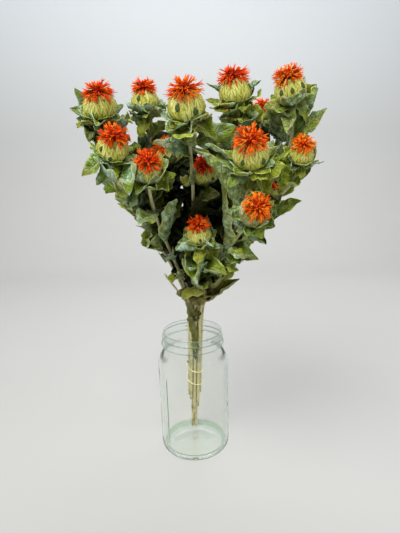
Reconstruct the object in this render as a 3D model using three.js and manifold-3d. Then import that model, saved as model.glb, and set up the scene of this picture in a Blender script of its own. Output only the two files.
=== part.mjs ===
// Dried safflower standing in a wide-mouthed glass preserving jar.
// Millimetres, +Z up. The origin is the middle of the jar's foot, and -Y is the front.
import * as THREE from 'three';
import Module from 'manifold-3d';

const wasm = await Module();
wasm.setup();

// Air between pieces that touch
const GAP = 0.35;

// Jar
const JAR_SIDES = 30;
const FOOT_RADIUS = 38;
const HEEL_RADIUS = 10.5;
const BODY_RADIUS = FOOT_RADIUS + HEEL_RADIUS;
const WALL = 3.2;
const FLOOR = 6;
const INNER_HEEL_RADIUS = 9;
const SHOULDER_FOOT = 130;
const SHOULDER_TOP = 156.5;
const NECK_RADIUS = 40.3;
const MOUTH_RADIUS = 37.9;
const BEAD_RADIUS = 43;
const BEAD_HEIGHT = 160;
const JAR_HEIGHT = 177;
const THREAD_DEPTH = 1.6;
const THREAD_PITCH = 5;
const THREAD_TURNS = 1.2;
const THREAD_STEPS = 24;
const THREAD_MIDDLE = 168.5;
const SEAM_AZIMUTH = -2.39;
const SEAM_FOOT = 20;
const SEAM_TOP = 118;

// Bundle: its middle line from the jar's floor at the back to the rim at the front
const BUNDLE_FOOT = new THREE.Vector3(-2, 32, 8);
const BUNDLE_RIM = new THREE.Vector3(4.5, -26, 177);
const STEM_SPACING = 4.9;
const STEM_SPACING_TOP = 5.3;
const SPREAD_FROM = 130;
const BUNDLE_LENGTH = 216;
const STEM_RADIUS = 2.1;
const STEM_TOP_RADIUS = 1.6;
const BRANCH_RADIUS = 1.4;
const STEM_SIDES = 5;
const TWIG_SHARE = 0.03;

// Tie
const TIE_RADIUS = 0.9;
const TIE_TOP = 132;
const TIE_PITCH = 24;
const TIE_TURNS = 1.75;
const TIE_STEPS = 12;

// Leaves and leafy bracts: the rings of a blade are counted in steps along its middle line, widths are
// fractions of a blade's length, and a pair is the value low on a stem and high on it, or a range
const LEAF_LENGTHS = [50, 38];
const LEAF_WIDTHS = [0.44, 0.6];
const LEAF_PITCHES = [1.25, 0.8];
const LEAVES_ON_BRANCH = 3;
const FIRST_LEAF = -0.1;
const LAST_LEAF = 0.84;
const BRACT_WIDTHS = [0.46, 0.62];
const RAGGED_EDGE = 0.14;
const WAVED_EDGE = 0.25;
const BLADE_THICKNESS = 1.2;
const LEAF_STEPS = 24;
const LEAF_RINGS = [3, 9, 17];
const SMALL_LEAF_RINGS = [4, 13];
const SMALL_LEAF = 34;
const BRACT_RINGS = [10, 17];
const ROOT_HALF_WIDTH = 0.8;
const ROOT_STEP = 1;
const ROOT_DEPTH = 0.9;
const CLEARANCE = 0.8;
const FRONT_LEAF_ARCH = 0.8;
const SHORT_BRACT_PITCH = -0.5;
const COLLAR_TOP = -0.4;
const COLLAR_BOTTOM = -1.8;
const TRIES = 60;
const FRONT_TRIES = 90;
const STEEPER_PER_TRY = 0.008;

// Crown: how far the leaves reach to the left and right of its middle plane at some heights, at its front.
// It gets wider towards its back
const CROWN_MIDDLE = 13;
const CROWN_FRONT = -120;
const CROWN_DEPTH = 430;
const CROWN_HEIGHTS = [180, 250, 278, 303, 342, 392, 440];
const CROWN_LEFT = [14, 20, 29, 42, 60, 88, 113];
const CROWN_RIGHT = [14, 19, 40, 58, 78, 108, 118];

// Flower heads: lengths as fractions of the head's size
const COLLAR_RADIUS = 0.17;
const CUP_HEIGHT = 0.76;
const CUP_SIDES = 9;
const CUP_OUTLINE = [[0.15, 0], [0.4, 0.15], [0.5, 0.43], [0.43, 0.77], [0.27, 1]];
const TUFT_SIDES = 7;
const TUFT_RADIUS = 0.3;
const TUFT_RISE = 0.1;

// at: middle of the cup, size: the cup's width, lean: how far the head tips along X and Y for a rise of 1
const heads = {
  1: { at: [-73, -140, 454], size: 29, lean: [0.08, -0.6], bracts: 7 },
  2: { at: [-35, -112, 461], size: 25, lean: [0, -0.3], bracts: 6 },
  3: { at: [5, -165, 450], size: 31, lean: [-0.08, -0.65], bracts: 7 },
  4: { at: [50, -125, 465], size: 30, lean: [-0.2, -0.3], bracts: 6 },
  5: { at: [100, -130, 464], size: 29, lean: [-0.25, -0.35], bracts: 7 },
  6: { at: [-60, -160, 417], size: 27, lean: [0.35, -0.75], bracts: 6 },
  7: { at: [-30, -161, 397], size: 25, lean: [0.15, -1], bracts: 9 },
  8: { at: [-16, -105, 410], size: 24, lean: [-0.2, -0.5], bracts: 5 },
  9: { at: [59, -172, 409], size: 31, lean: [-0.1, -0.8], bracts: 8 },
  10: { at: [108, -150, 407], size: 22, lean: [0, -0.7], bracts: 7 },
  11: { at: [21, -111, 391], size: 24, lean: [-0.05, -0.8], bracts: 5 },
  12: { at: [63, -172, 359], size: 27, lean: [0.15, -2.2], bracts: 9 },
  13: { at: [13, -125, 332], size: 24, lean: [0, -0.4], bracts: 6 },
  14: { at: [86, -113, 371], size: 14, lean: [0.15, -0.4], bracts: 4 },
  15: { at: [82, -75, 446], size: 24, lean: [0.1, -0.3], bracts: 5 },
  16: { at: [57, -50, 449], size: 24, lean: [-0.1, 0], bracts: 5 },
  17: { at: [-84, -55, 450], size: 27, lean: [-0.3, 0], bracts: 6 },
  18: { at: [5, -62, 449], size: 27, lean: [0, 0.05], bracts: 5 },
  19: { at: [117, -60, 455], size: 27, lean: [0.3, 0], bracts: 6 },
  20: { at: [-42, -15, 428], size: 26, lean: [-0.25, 0.4], bracts: 6 },
  21: { at: [38, -10, 414], size: 26, lean: [0.1, 0.45], bracts: 6 },
  22: { at: [99, -12, 401], size: 25, lean: [0.4, 0.35], bracts: 6 },
};

// slot: place in the bundle in steps of its triangular pattern, cut: the cut end's distance from the
// bundle's foot, forks: where on the free stem (0 to 1) a branch leaves, and the head it bears,
// twig: the broken end of a bare side branch
const stems = [
  { slot: [-1, 0], cut: 70, head: 1, leaves: 9, forks: [[0.5, 6]] },
  { slot: [-1, 1], cut: 60, head: 2, leaves: 8, forks: [[0.62, 8]] },
  { slot: [0, 0], cut: 0, head: 3, leaves: 8, forks: [] },
  { slot: [1, 1], cut: 40, head: 4, leaves: 8, forks: [[0.6, 15]] },
  { slot: [2, 0], cut: 76, head: 5, leaves: 8, forks: [[0.55, 10], [0.4, 14]] },
  { slot: [0, -1], cut: 66, head: 7, leaves: 9, forks: [], twig: [-29, -58, 273] },
  { slot: [2, -1], cut: 58, head: 9, leaves: 8, forks: [[0.3, 12]] },
  { slot: [1, 0], cut: 0, head: 11, leaves: 6, forks: [] },
  { slot: [0, 1], cut: 3, head: 18, leaves: 7, forks: [[0.55, 21]] },
  { slot: [0, 2], cut: 62, head: 19, leaves: 8, forks: [[0.6, 16], [0.45, 22]] },
  { slot: [-1, 2], cut: 72, head: 17, leaves: 8, forks: [[0.5, 20]] },
  { slot: [1, -1], cut: 34, head: 13, leaves: 6, forks: [] },
];

// The large leaves that show in front. share: where the leaf grows on its stem's line (0 to 1)
const frontLeaves = [
  { stem: 3, share: 0.93, tip: [-3, -188, 425], width: 24, roll: 0.2 },
  { stem: 3, share: 0.86, tip: [-24, -165, 421], width: 16, roll: -0.5 },
  { stem: 7, share: 0.82, tip: [19, -168, 418], width: 25, roll: 0.9 },
  { stem: 7, share: 0.86, tip: [97, -150, 410], width: 18, roll: -0.6 },
  { stem: 5, fork: 1, share: 0.8, tip: [92, -142, 374], width: 24, roll: 0.4 },
  { stem: 5, share: 0.8, tip: [132, -122, 440], width: 18, roll: 0.9 },
  { stem: 7, share: 0.5, tip: [28, -140, 384], width: 22, roll: -0.6 },
  { stem: 5, fork: 2, share: 0.6, tip: [117, -112, 359], width: 17, roll: 0.3 },
  { stem: 7, share: 0.08, tip: [57, -78, 276], width: 20, roll: 0.6 },
  { stem: 1, share: 0.33, tip: [-41, -105, 335], width: 18, roll: -0.5 },
  { stem: 6, share: 0.12, tip: [-23, -95, 309], width: 23, roll: -0.7 },
  { stem: 6, share: 0, tip: [4, -90, 262], width: 18, roll: 0.1 },
  { stem: 1, share: 0.88, tip: [-92, -138, 444], width: 17, roll: -0.3 },
  { stem: 6, share: 0.62, tip: [-38, -112, 350], width: 19, roll: 0.5 },
  { stem: 1, fork: 1, share: 0.6, tip: [-79, -120, 392], width: 18, roll: -0.8 },
  { stem: 5, share: 0.62, tip: [114, -118, 392], width: 20, roll: 0.5 },
  { stem: 12, share: 0.45, tip: [24, -112, 312], width: 18, roll: 0.9 },
  { stem: 6, share: 0.5, tip: [-35, -110, 343], width: 26, roll: 0.3 },
  { stem: 3, share: 0.3, tip: [2, -104, 304], width: 24, roll: 0.4 },
  { stem: 3, share: 0.6, tip: [29, -132, 377], width: 27, roll: 0.3 },
  { stem: 7, share: 0.5, tip: [61, -122, 332], width: 24, roll: -0.4 },
  { stem: 5, fork: 2, share: 0.08, tip: [80, -112, 317], width: 22, roll: 0.6 },
  { stem: 1, fork: 1, share: 0.2, tip: [-59, -112, 378], width: 23, roll: 0.6 },
  { stem: 6, share: 0.66, tip: [-16, -130, 371], width: 25, roll: -0.5 },
  { stem: 2, fork: 1, share: 0.5, tip: [-17, -132, 394], width: 22, roll: 0.4 },
  { stem: 8, share: 0.75, tip: [15, -122, 365], width: 23, roll: -0.7 },
  { stem: 1, share: 0.34, tip: [-40, -98, 312], width: 21, roll: -0.6 },
  { stem: 7, share: 0.28, tip: [46, -98, 294], width: 22, roll: -0.2 },
];

const X = new THREE.Vector3(1, 0, 0);
const bundleAxis = BUNDLE_RIM.clone().sub(BUNDLE_FOOT).normalize();

const vector = (xyz) => new THREE.Vector3(...xyz);
const plus = (point, ...terms) => {
  const sum = point.clone();
  for (const [direction, distance] of terms) {
    sum.addScaledVector(direction, distance);
  }
  return sum;
};

// The same number between 0 and 1 for the same three seeds
function draw(a, b, c = 0) {
  const wave = Math.sin(a * 12.9898 + b * 78.233 + c * 37.719) * 43758.5453;
  return wave - Math.floor(wave);
}

const between = (low, high, share) => low + (high - low) * share;

// Two directions square to a stem and to each other, the first one towards +X
function crossing(along) {
  const across = plus(X, [along, -X.dot(along)]).normalize();
  return [across, along.clone().cross(across)];
}

function ringAround(centre, along, radius, sides, turn = 0) {
  const [across, other] = crossing(along);
  return Array.from({ length: sides }, (_, side) => {
    const angle = turn + (2 * Math.PI * side) / sides;
    return plus(centre, [across, radius * Math.cos(angle)], [other, radius * Math.sin(angle)]);
  });
}

function solidFrom(points, faces) {
  return new wasm.Manifold(new wasm.Mesh({
    numProp: 3,
    vertProperties: new Float32Array(points.flatMap((point) => [point.x, point.y, point.z])),
    triVerts: new Uint32Array(faces.flat()),
  }));
}

// A solid through rings of equal count, each end closed by a flat cap or by a point
function loft(rings, { start, end } = {}) {
  const count = rings[0].length;
  const points = rings.flat();
  const faces = [];
  const last = (rings.length - 1) * count;
  for (let ring = 0; ring < rings.length - 1; ring += 1) {
    for (let side = 0; side < count; side += 1) {
      const next = (side + 1) % count;
      const [a, b] = [ring * count + side, ring * count + next];
      const [c, d] = [b + count, a + count];
      if (side % 2) {
        faces.push([a, b, d], [b, c, d]);
      } else {
        faces.push([a, b, c], [a, c, d]);
      }
    }
  }
  if (start) {
    points.push(start);
  }
  if (end) {
    points.push(end);
  }
  for (let side = 0; side < count; side += 1) {
    const next = (side + 1) % count;
    if (start) {
      faces.push([next, side, rings.length * count]);
    } else if (side > 0 && side < count - 1) {
      faces.push([0, next, side]);
    }
    if (end) {
      faces.push([last + side, last + next, points.length - 1]);
    } else if (side > 0 && side < count - 1) {
      faces.push([last, last + side, last + next]);
    }
  }
  return solidFrom(points, faces);
}

function meshOf(name, solid, colour, roughness) {
  const { numProp, vertProperties, triVerts } = solid.getMesh();
  const geometry = new THREE.BufferGeometry();
  geometry.setAttribute('position', new THREE.BufferAttribute(vertProperties, numProp));
  geometry.setIndex(new THREE.BufferAttribute(triVerts, 1));
  const material = new THREE.MeshStandardMaterial({ color: colour, roughness, flatShading: true });
  const mesh = new THREE.Mesh(geometry, material);
  mesh.name = name;
  return mesh;
}

// Jar: one moulded wall, turned about Z, with a screw thread and two mould seams on it
function jarOutline() {
  const outline = [];
  const arc = (centreRadius, centreHeight, radius, angles) => {
    for (const angle of angles) {
      outline.push([centreRadius + radius * Math.sin(angle), centreHeight - radius * Math.cos(angle)]);
    }
  };
  const shoulder = (low, high, foot, top, shares) => {
    for (const share of shares) {
      const swell = 0.5 + 0.5 * Math.cos(Math.PI * share);
      outline.push([between(high, low, swell), between(foot, top, share)]);
    }
  };
  const quarter = Math.PI / 2;
  arc(FOOT_RADIUS, HEEL_RADIUS, HEEL_RADIUS, [0, quarter / 3, (2 * quarter) / 3, quarter]);
  shoulder(BODY_RADIUS, NECK_RADIUS + 0.8, SHOULDER_FOOT, SHOULDER_TOP, [0, 0.25, 0.5, 0.75, 1]);
  outline.push([BEAD_RADIUS, BEAD_HEIGHT - 1.2], [BEAD_RADIUS, BEAD_HEIGHT + 1.2]);
  outline.push([NECK_RADIUS, BEAD_HEIGHT + 2.8], [NECK_RADIUS, JAR_HEIGHT - 1.6]);
  outline.push([NECK_RADIUS - 1.1, JAR_HEIGHT], [MOUTH_RADIUS, JAR_HEIGHT - 1]);
  const innerBody = BODY_RADIUS - WALL;
  shoulder(innerBody, MOUTH_RADIUS, SHOULDER_FOOT - 2, SHOULDER_TOP - 2, [1, 0.7, 0.35, 0]);
  const innerHeel = [quarter, quarter / 2, 0];
  arc(innerBody - INNER_HEEL_RADIUS, FLOOR + INNER_HEEL_RADIUS, INNER_HEEL_RADIUS, innerHeel);
  return outline;
}

function jarThread() {
  const root = NECK_RADIUS - 0.8;
  const rings = [];
  for (let step = 0; step <= THREAD_STEPS; step += 1) {
    const turns = (step / THREAD_STEPS - 0.5) * THREAD_TURNS;
    const angle = 2 * Math.PI * turns - Math.PI / 2;
    const height = THREAD_MIDDLE - THREAD_PITCH * turns;
    const fade = Math.min(1, step / 2, (THREAD_STEPS - step) / 2);
    const crest = between(root + 0.3, NECK_RADIUS + THREAD_DEPTH, fade);
    const section = [[root, 1.8], [crest, 0], [root, -1.8]];
    rings.push(section.map(([radius, rise]) =>
      new THREE.Vector3(radius * Math.cos(angle), radius * Math.sin(angle), height + rise)));
  }
  return loft(rings);
}

function jarSeam(azimuth) {
  const rings = [[SEAM_FOOT, -0.2], [SEAM_FOOT + 4, 0.7], [SEAM_TOP - 4, 0.7], [SEAM_TOP, -0.2]];
  return loft(rings.map(([height, proud]) => {
    const section = [[-0.5, proud], [0.5, proud], [1.4, -1.5], [-1.4, -1.5]];
    return section.map(([aside, out]) => new THREE.Vector3(BODY_RADIUS + out, aside, height)
      .applyAxisAngle(new THREE.Vector3(0, 0, 1), azimuth));
  }));
}

function jarSolid() {
  const up = new THREE.Vector3(0, 0, 1);
  const rings = jarOutline().map(([radius, height]) =>
    ringAround(new THREE.Vector3(0, 0, height), up, radius, JAR_SIDES));
  const poles = { start: new THREE.Vector3(0, 0, 0), end: new THREE.Vector3(0, 0, FLOOR) };
  return loft(rings, poles)
    .add(jarThread())
    .add(jarSeam(SEAM_AZIMUTH))
    .add(jarSeam(SEAM_AZIMUTH + Math.PI));
}

// Bundle: a point on a stem's line at a distance from the bundle's foot
function bundlePoint([column, row], distance) {
  const widened = THREE.MathUtils.clamp((distance - SPREAD_FROM) / (BUNDLE_LENGTH - SPREAD_FROM), 0, 1);
  const spacing = between(STEM_SPACING, STEM_SPACING_TOP, widened);
  const [across, back] = crossing(bundleAxis);
  const aside = column + row / 2 - 0.5;
  const behind = (row * Math.sqrt(3)) / 2 - Math.sqrt(3) / 6;
  return plus(BUNDLE_FOOT, [bundleAxis, distance], [across, aside * spacing], [back, behind * spacing]);
}

function tieSolid() {
  const [across, back] = crossing(bundleAxis);
  const outermost = STEM_SPACING * Math.sqrt(7 / 3) + STEM_RADIUS;
  const reach = (outermost + GAP) / Math.cos(Math.PI / TIE_STEPS) + TIE_RADIUS;
  const steps = Math.round(TIE_TURNS * TIE_STEPS);
  const rings = [];
  for (let step = 0; step <= steps; step += 1) {
    const turns = (step / steps) * TIE_TURNS;
    const angle = 2 * Math.PI * turns + Math.PI * 0.9;
    const middle = plus(BUNDLE_FOOT, [bundleAxis, TIE_TOP - TIE_PITCH * turns]);
    const centre = plus(middle, [across, reach * Math.cos(angle)], [back, reach * Math.sin(angle)]);
    const out = centre.clone().sub(middle).normalize();
    const corners = [[0, -TIE_RADIUS], [-TIE_RADIUS, 0], [0, TIE_RADIUS], [TIE_RADIUS, 0]];
    rings.push(corners.map(([outward, upward]) => plus(centre, [out, outward], [bundleAxis, upward])));
  }
  return loft(rings);
}

// Curves: a cubic through a start and an end, with a handle at each
function curveBetween(start, startWay, end, endWay, [startReach, endReach]) {
  const span = start.distanceTo(end);
  const handles = [plus(start, [startWay, span * startReach]), plus(end, [endWay, -span * endReach])];
  return new THREE.CubicBezierCurve3(start, ...handles, end);
}

function headFrame(number) {
  const head = heads[number];
  const axis = vector([...head.lean, 1]).normalize();
  const rise = head.size * CUP_HEIGHT;
  const base = plus(vector(head.at), [axis, -rise / 2]);
  const stemEnd = plus(base, [axis, (COLLAR_TOP + COLLAR_BOTTOM) / 2]);
  return { ...head, number, axis, rise, base, stemEnd, top: plus(base, [axis, rise]) };
}

// A stem along a curve, after any straight points, ending inside the collar under its head
function stemSolid(straight, curve, steps, radius, topRadius) {
  const rings = straight.map((point) => ringAround(point, bundleAxis, radius, STEM_SIDES));
  for (let step = 0; step <= steps; step += 1) {
    const share = step / steps;
    const size = between(radius, topRadius, share);
    rings.push(ringAround(curve.getPoint(share), curve.getTangent(share), size, STEM_SIDES));
  }
  return loft(rings);
}

// Leaf: the middle line bends in the plane of out and up, and the blade folds and waves about it
function midrib(leaf) {
  const side = leaf.up.clone().cross(leaf.out);
  const pitchAt = (share) => leaf.pitch + leaf.bend * share + leaf.curl * share ** 3;
  const stations = [];
  let point = leaf.root.clone();
  for (let step = 0; step <= LEAF_STEPS; step += 1) {
    const share = step / LEAF_STEPS;
    const pitch = pitchAt(share);
    const roll = leaf.roll + leaf.twist * share;
    const normal = plus(new THREE.Vector3(), [leaf.out, -Math.sin(pitch)], [leaf.up, Math.cos(pitch)]);
    const across = plus(new THREE.Vector3(), [side, Math.cos(roll)], [normal, Math.sin(roll)]);
    const face = plus(new THREE.Vector3(), [normal, Math.cos(roll)], [side, -Math.sin(roll)]);
    stations.push({ share, at: plus(point, [side, leaf.sway * leaf.length * share ** 2]), across, face });
    const next = pitchAt(share + 0.5 / LEAF_STEPS);
    const stride = leaf.length / LEAF_STEPS;
    point = plus(point, [leaf.out, Math.cos(next) * stride], [leaf.up, Math.sin(next) * stride]);
  }
  return stations;
}

// A blade's four corners at one station: left edge, upper rib, right edge, lower rib
function bladeRing(leaf, { share, at, across, face }, thickness, margin) {
  const swell = Math.sin(Math.PI * share ** leaf.fullness) ** leaf.slimness;
  const half = ROOT_HALF_WIDTH * (1 - share) + (leaf.width / 2) * swell + margin;
  const edge = (sign) => {
    const ragged = 1 + RAGGED_EDGE * Math.sin(leaf.phase * 3 + sign * 2 + share * 11);
    const lift = half * (leaf.fold + leaf.wave * Math.sin(leaf.phase + sign + share * 8));
    return plus(at, [across, sign * half * ragged], [face, lift]);
  };
  return [edge(1), plus(at, [face, thickness / 2]), edge(-1), plus(at, [face, -thickness / 2])];
}

function bladeSolid(leaf, steps, { rooted, foot, thickness = BLADE_THICKNESS, margin = 0 } = {}) {
  const stations = midrib(leaf);
  const rings = steps.map((step) => bladeRing(leaf, stations[step], thickness, margin));
  if (foot) {
    rings.unshift(foot);
  }
  const tip = stations[LEAF_STEPS].at;
  const forward = tip.clone().sub(stations[LEAF_STEPS - 1].at).normalize();
  const start = rooted ? plus(leaf.root, [leaf.out, -ROOT_DEPTH]) : undefined;
  return loft(rings, { start, end: plus(tip, [forward, margin]) });
}

// Collar: the leafy bracts round a head share one thin disc on the stem's end. Each bract's solid runs
// from the disc's edge, where it meets its neighbours, to its own tip
function collarSolid(head, bracts) {
  const points = [COLLAR_TOP, COLLAR_BOTTOM].map((height) => plus(head.base, [head.axis, height]));
  const faces = [];
  const count = bracts.length;
  bracts.forEach((bract, index) => {
    const next = bracts[(index + 1) % count];
    const way = bract.out.clone().add(next.out).normalize();
    for (const height of [COLLAR_TOP, COLLAR_BOTTOM]) {
      points.push(plus(head.base, [way, head.size * COLLAR_RADIUS], [head.axis, height]));
    }
  });
  bracts.forEach((bract, index) => {
    const [leftTop, leftBottom] = [2 + 2 * index, 3 + 2 * index];
    const before = (index + count - 1) % count;
    const [rightTop, rightBottom] = [2 + 2 * before, 3 + 2 * before];
    const stations = midrib(bract);
    const ringAt = (step) => {
      points.push(...bladeRing(bract, stations[step], BLADE_THICKNESS, 0));
      return [4, 3, 2, 1].map((back) => points.length - back);
    };
    const [left, top, right, bottom] = ringAt(BRACT_RINGS[0]);
    faces.push([0, rightTop, leftTop], [1, leftBottom, rightBottom]);
    faces.push([leftTop, top, left], [leftTop, rightTop, top], [rightTop, right, top]);
    faces.push([leftBottom, left, bottom], [leftBottom, bottom, rightBottom]);
    faces.push([rightBottom, bottom, right], [leftTop, left, leftBottom], [rightTop, rightBottom, right]);
    const [left2, top2, right2, bottom2] = ringAt(BRACT_RINGS[1]);
    faces.push([left, top, top2], [left, top2, left2], [top, right, top2], [right, right2, top2]);
    faces.push([right, bottom, bottom2], [right, bottom2, right2]);
    faces.push([bottom, left, bottom2], [left, left2, bottom2]);
    points.push(stations[LEAF_STEPS].at);
    const tip = points.length - 1;
    faces.push([left2, top2, tip], [top2, right2, tip], [right2, bottom2, tip], [bottom2, left2, tip]);
  });
  return solidFrom(points, faces);
}

// A bract's first ring: its share of the collar's edge
function collarFoot(head, bract, margin = 0) {
  const side = bract.up.clone().cross(bract.out);
  const half = Math.PI / head.bracts;
  const radius = head.size * COLLAR_RADIUS;
  const [inward, aside] = [radius * Math.cos(half), radius * Math.sin(half)];
  const thick = (COLLAR_TOP - COLLAR_BOTTOM) / 2 + margin;
  const middle = plus(bract.root, [bract.out, inward]);
  const corners = [[aside, thick], [0, thick], [-aside, thick], [0, -thick]];
  return corners.map(([across, high]) => plus(middle, [side, across], [bract.up, high]));
}

function shortBract(head, index) {
  const bract = bractTry(head, index, TRIES);
  return { ...bract, length: head.size / 2, pitch: SHORT_BRACT_PITCH, bend: 0, curl: 0, twist: 0, fold: 0 };
}

function bractTry(head, index, attempt) {
  const seed = (part) => draw(head.number + 100, index + attempt * 31, part);
  const [across, other] = crossing(head.axis);
  const azimuth = (2 * Math.PI * (index + 0.3 * draw(head.number, index, 30))) / head.bracts + head.number;
  const out = plus(new THREE.Vector3(), [across, Math.cos(azimuth)], [other, Math.sin(azimuth)]);
  const length = (head.size * between(0.6, 0.9, seed(1)) + 5) * (1 - 0.02 * attempt);
  const spread = Math.min(1, 0.45 * seed(2) + 0.06 * attempt + 0.35 * (index % 2));
  return {
    root: plus(head.base, [head.axis, (COLLAR_TOP + COLLAR_BOTTOM) / 2]),
    out,
    up: head.axis,
    length,
    width: length * between(...BRACT_WIDTHS, seed(3)),
    fullness: 0.85,
    slimness: 0.85,
    pitch: between(-0.05, -0.3, spread),
    bend: between(1.6, 0.1, spread),
    curl: between(-0.5, 0.5, seed(4)),
    roll: 0,
    twist: between(-0.5, 0.5, seed(5)),
    sway: between(-0.15, 0.15, seed(6)),
    fold: between(0.1, 0.45, seed(7)),
    wave: WAVED_EDGE,
    phase: 6 * seed(8),
  };
}

// Low leaves point away from the bundle, higher ones all round. Each grows out of the middle of a facet
function leafTry(curve, seedRow, index, count, outward, attempt) {
  const seed = (part) => draw(seedRow + 1, index + attempt * 29 + 3, part);
  const share = between(FIRST_LEAF, LAST_LEAF, (index + 0.8 * draw(seedRow, index, 20)) / count);
  const height = Math.max(share, 0);
  const along = curve.getTangent(height);
  const root = plus(curve.getPoint(height), [along, Math.min(share, 0) * curve.getLength()]);
  const [across, other] = crossing(along);
  const turn = Math.min(1, height * 1.8 + 0.25 + 0.02 * attempt) * (seed(11) - 0.5);
  const facet = Math.round((outward / (2 * Math.PI) + turn) * STEM_SIDES - 0.5) + 0.5;
  const azimuth = (2 * Math.PI * facet) / STEM_SIDES;
  const out = plus(new THREE.Vector3(), [across, Math.cos(azimuth)], [other, Math.sin(azimuth)]);
  const size = between(0.85, 1.15, seed(1)) * (1 - attempt * 0.01);
  const length = between(...LEAF_LENGTHS, share) * size;
  const steeper = STEEPER_PER_TRY * attempt;
  return {
    root,
    out,
    up: along,
    length,
    width: length * between(...LEAF_WIDTHS, seed(2)),
    fullness: between(0.9, 1.15, seed(9)),
    slimness: 1.2,
    pitch: between(...LEAF_PITCHES, height) + between(-0.3, 0.2, seed(3)) + steeper,
    bend: between(-1.4, 0.3, seed(4)) * between(0.35, 1, height),
    curl: between(-1.6, 0.6, seed(5)) * between(0.3, 1, height),
    roll: 0,
    twist: between(-0.9, 0.9, seed(6)),
    sway: between(-0.25, 0.25, seed(7)),
    fold: between(0.05, 0.5, seed(8)),
    wave: WAVED_EDGE,
    phase: 6 * seed(10),
  };
}

// A front leaf rises in an arch from its stem to its tip
function frontLeafTry(curve, leaf, index, attempt) {
  const seed = (part) => draw(index + 211, attempt * 17 + 5, part);
  const stray = attempt / FRONT_TRIES;
  const aside = vector([1, 2, 3].map((part) => 30 * stray * (seed(part) - 0.5)));
  const share = THREE.MathUtils.clamp(leaf.share + 0.4 * stray * (seed(4) - 0.5), 0, 1);
  const arch = FRONT_LEAF_ARCH * between(1, 2 * seed(8) - 0.4, stray);
  const root = curve.getPoint(share);
  const along = curve.getTangent(share);
  const chord = vector(leaf.tip).add(aside).sub(root);
  const rise = chord.dot(along);
  const out = plus(chord, [along, -rise]);
  const reach = out.length();
  return {
    root,
    out: out.normalize(),
    up: along,
    length: 1.03 * chord.length(),
    width: leaf.width * (1 - 0.3 * stray),
    fullness: 0.95,
    slimness: 0.95,
    pitch: Math.atan2(rise, reach) + arch / 2,
    bend: -arch,
    curl: 0,
    roll: leaf.roll + 3 * stray * (seed(5) - 0.5),
    twist: between(-0.3, 0.3, seed(6)),
    sway: 0,
    fold: 0.25,
    wave: WAVED_EDGE,
    phase: 6 * seed(7),
  };
}

// Flower cup: overlapping bracts stand out as staggered facets
function cupSolid(head) {
  const rings = CUP_OUTLINE.map(([radius, height], ring) => {
    const ends = ring === 0 || ring === CUP_OUTLINE.length - 1;
    const circle = ringAround(new THREE.Vector3(), head.axis, head.size * radius, CUP_SIDES, ring * 0.31);
    return circle.map((point, side) => {
      const proud = ends ? 1 : 1 + (side % 2 ? -0.04 : 0.04);
      return plus(head.base, [head.axis, head.rise * height + (ring === 0 ? GAP : 0)], [point, proud]);
    });
  });
  return loft(rings);
}

// Tuft: florets stand out of a small dome, one raised from each of its faces
function tuftSolid(head) {
  const sides = head.size < 18 ? 6 : TUFT_SIDES;
  const centre = plus(head.top, [head.axis, head.size * TUFT_RISE]);
  const dome = (polar, turn) => ringAround(
    plus(centre, [head.axis, head.size * TUFT_RADIUS * Math.cos(polar)]),
    head.axis, head.size * TUFT_RADIUS * Math.sin(polar), sides, turn);
  const foot = ringAround(plus(head.top, [head.axis, GAP]), head.axis, head.size * 0.24, sides, 1.2);
  const rings = [foot, dome(1.65, 1.2), dome(1.1, 0.85), dome(0.5, 0.5)];
  const points = rings.flat();
  points.push(plus(centre, [head.axis, head.size * TUFT_RADIUS]));
  const faces = [];
  const raised = [];
  for (let side = 0; side < sides; side += 1) {
    const next = (side + 1) % sides;
    faces.push([side, next, sides + next], [side, sides + next, sides + side]);
    for (const ring of [1, 2]) {
      const [a, b, c, d] = [ring, ring, ring + 1, ring + 1].map((level, corner) =>
        level * sides + (corner === 1 || corner === 2 ? next : side));
      raised.push([a, b, d], [b, c, d]);
    }
    raised.push([3 * sides + side, 3 * sides + next, 4 * sides]);
    if (side > 0 && side < sides - 1) {
      faces.push([0, next, side]);
    }
  }
  raised.forEach(([a, b, c], index) => {
    const middle = points[a].clone().add(points[b]).add(points[c]).divideScalar(3).sub(centre);
    const height = middle.dot(head.axis);
    const level = plus(middle, [head.axis, -height]);
    const slope = level.length() / middle.length();
    const droop = plus(middle.normalize(), [head.axis, -0.5 * slope ** 3]).normalize();
    const reach = head.size * (0.4 + 0.2 * slope) * between(0.84, 1.14, draw(head.number, index, 40));
    points.push(plus(centre, [droop, reach]));
    const tip = points.length - 1;
    faces.push([a, b, tip], [b, c, tip], [c, a, tip]);
  });
  return solidFrom(points, faces);
}

// Placing: a piece is kept where a slightly thicker copy of it is clear of what stands there already
const standing = [];

function stand(node, solid, body = solid) {
  const { min, max } = solid.boundingBox();
  standing.push({ node, solid: body, min, max });
  return solid;
}

function isClear(guard, ownGuard, node) {
  const { min, max } = guard.boundingBox();
  return standing.every((other) => {
    const apart = [0, 1, 2].some((side) => other.max[side] < min[side] || other.min[side] > max[side]);
    if (apart) {
      return true;
    }
    const tested = other.node.startsWith(node) ? ownGuard : guard;
    return tested.intersect(other.solid).isEmpty();
  });
}

// Whether a blade's middle line stays inside the crown's outline
function inCrown(leaf) {
  const stations = midrib(leaf);
  return [LEAF_STEPS / 2, LEAF_STEPS].every((step) => {
    const { x, y, z } = stations[step].at;
    const across = (x - CROWN_MIDDLE) / (1 + (y - CROWN_FRONT) / CROWN_DEPTH);
    const above = CROWN_HEIGHTS.findIndex((height) => height > z);
    if (above < 1) {
      return above === -1;
    }
    const [low, high] = [CROWN_HEIGHTS[above - 1], CROWN_HEIGHTS[above]];
    const edges = across < 0 ? CROWN_LEFT : CROWN_RIGHT;
    return Math.abs(across) < between(edges[above - 1], edges[above], (z - low) / (high - low));
  });
}

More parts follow.
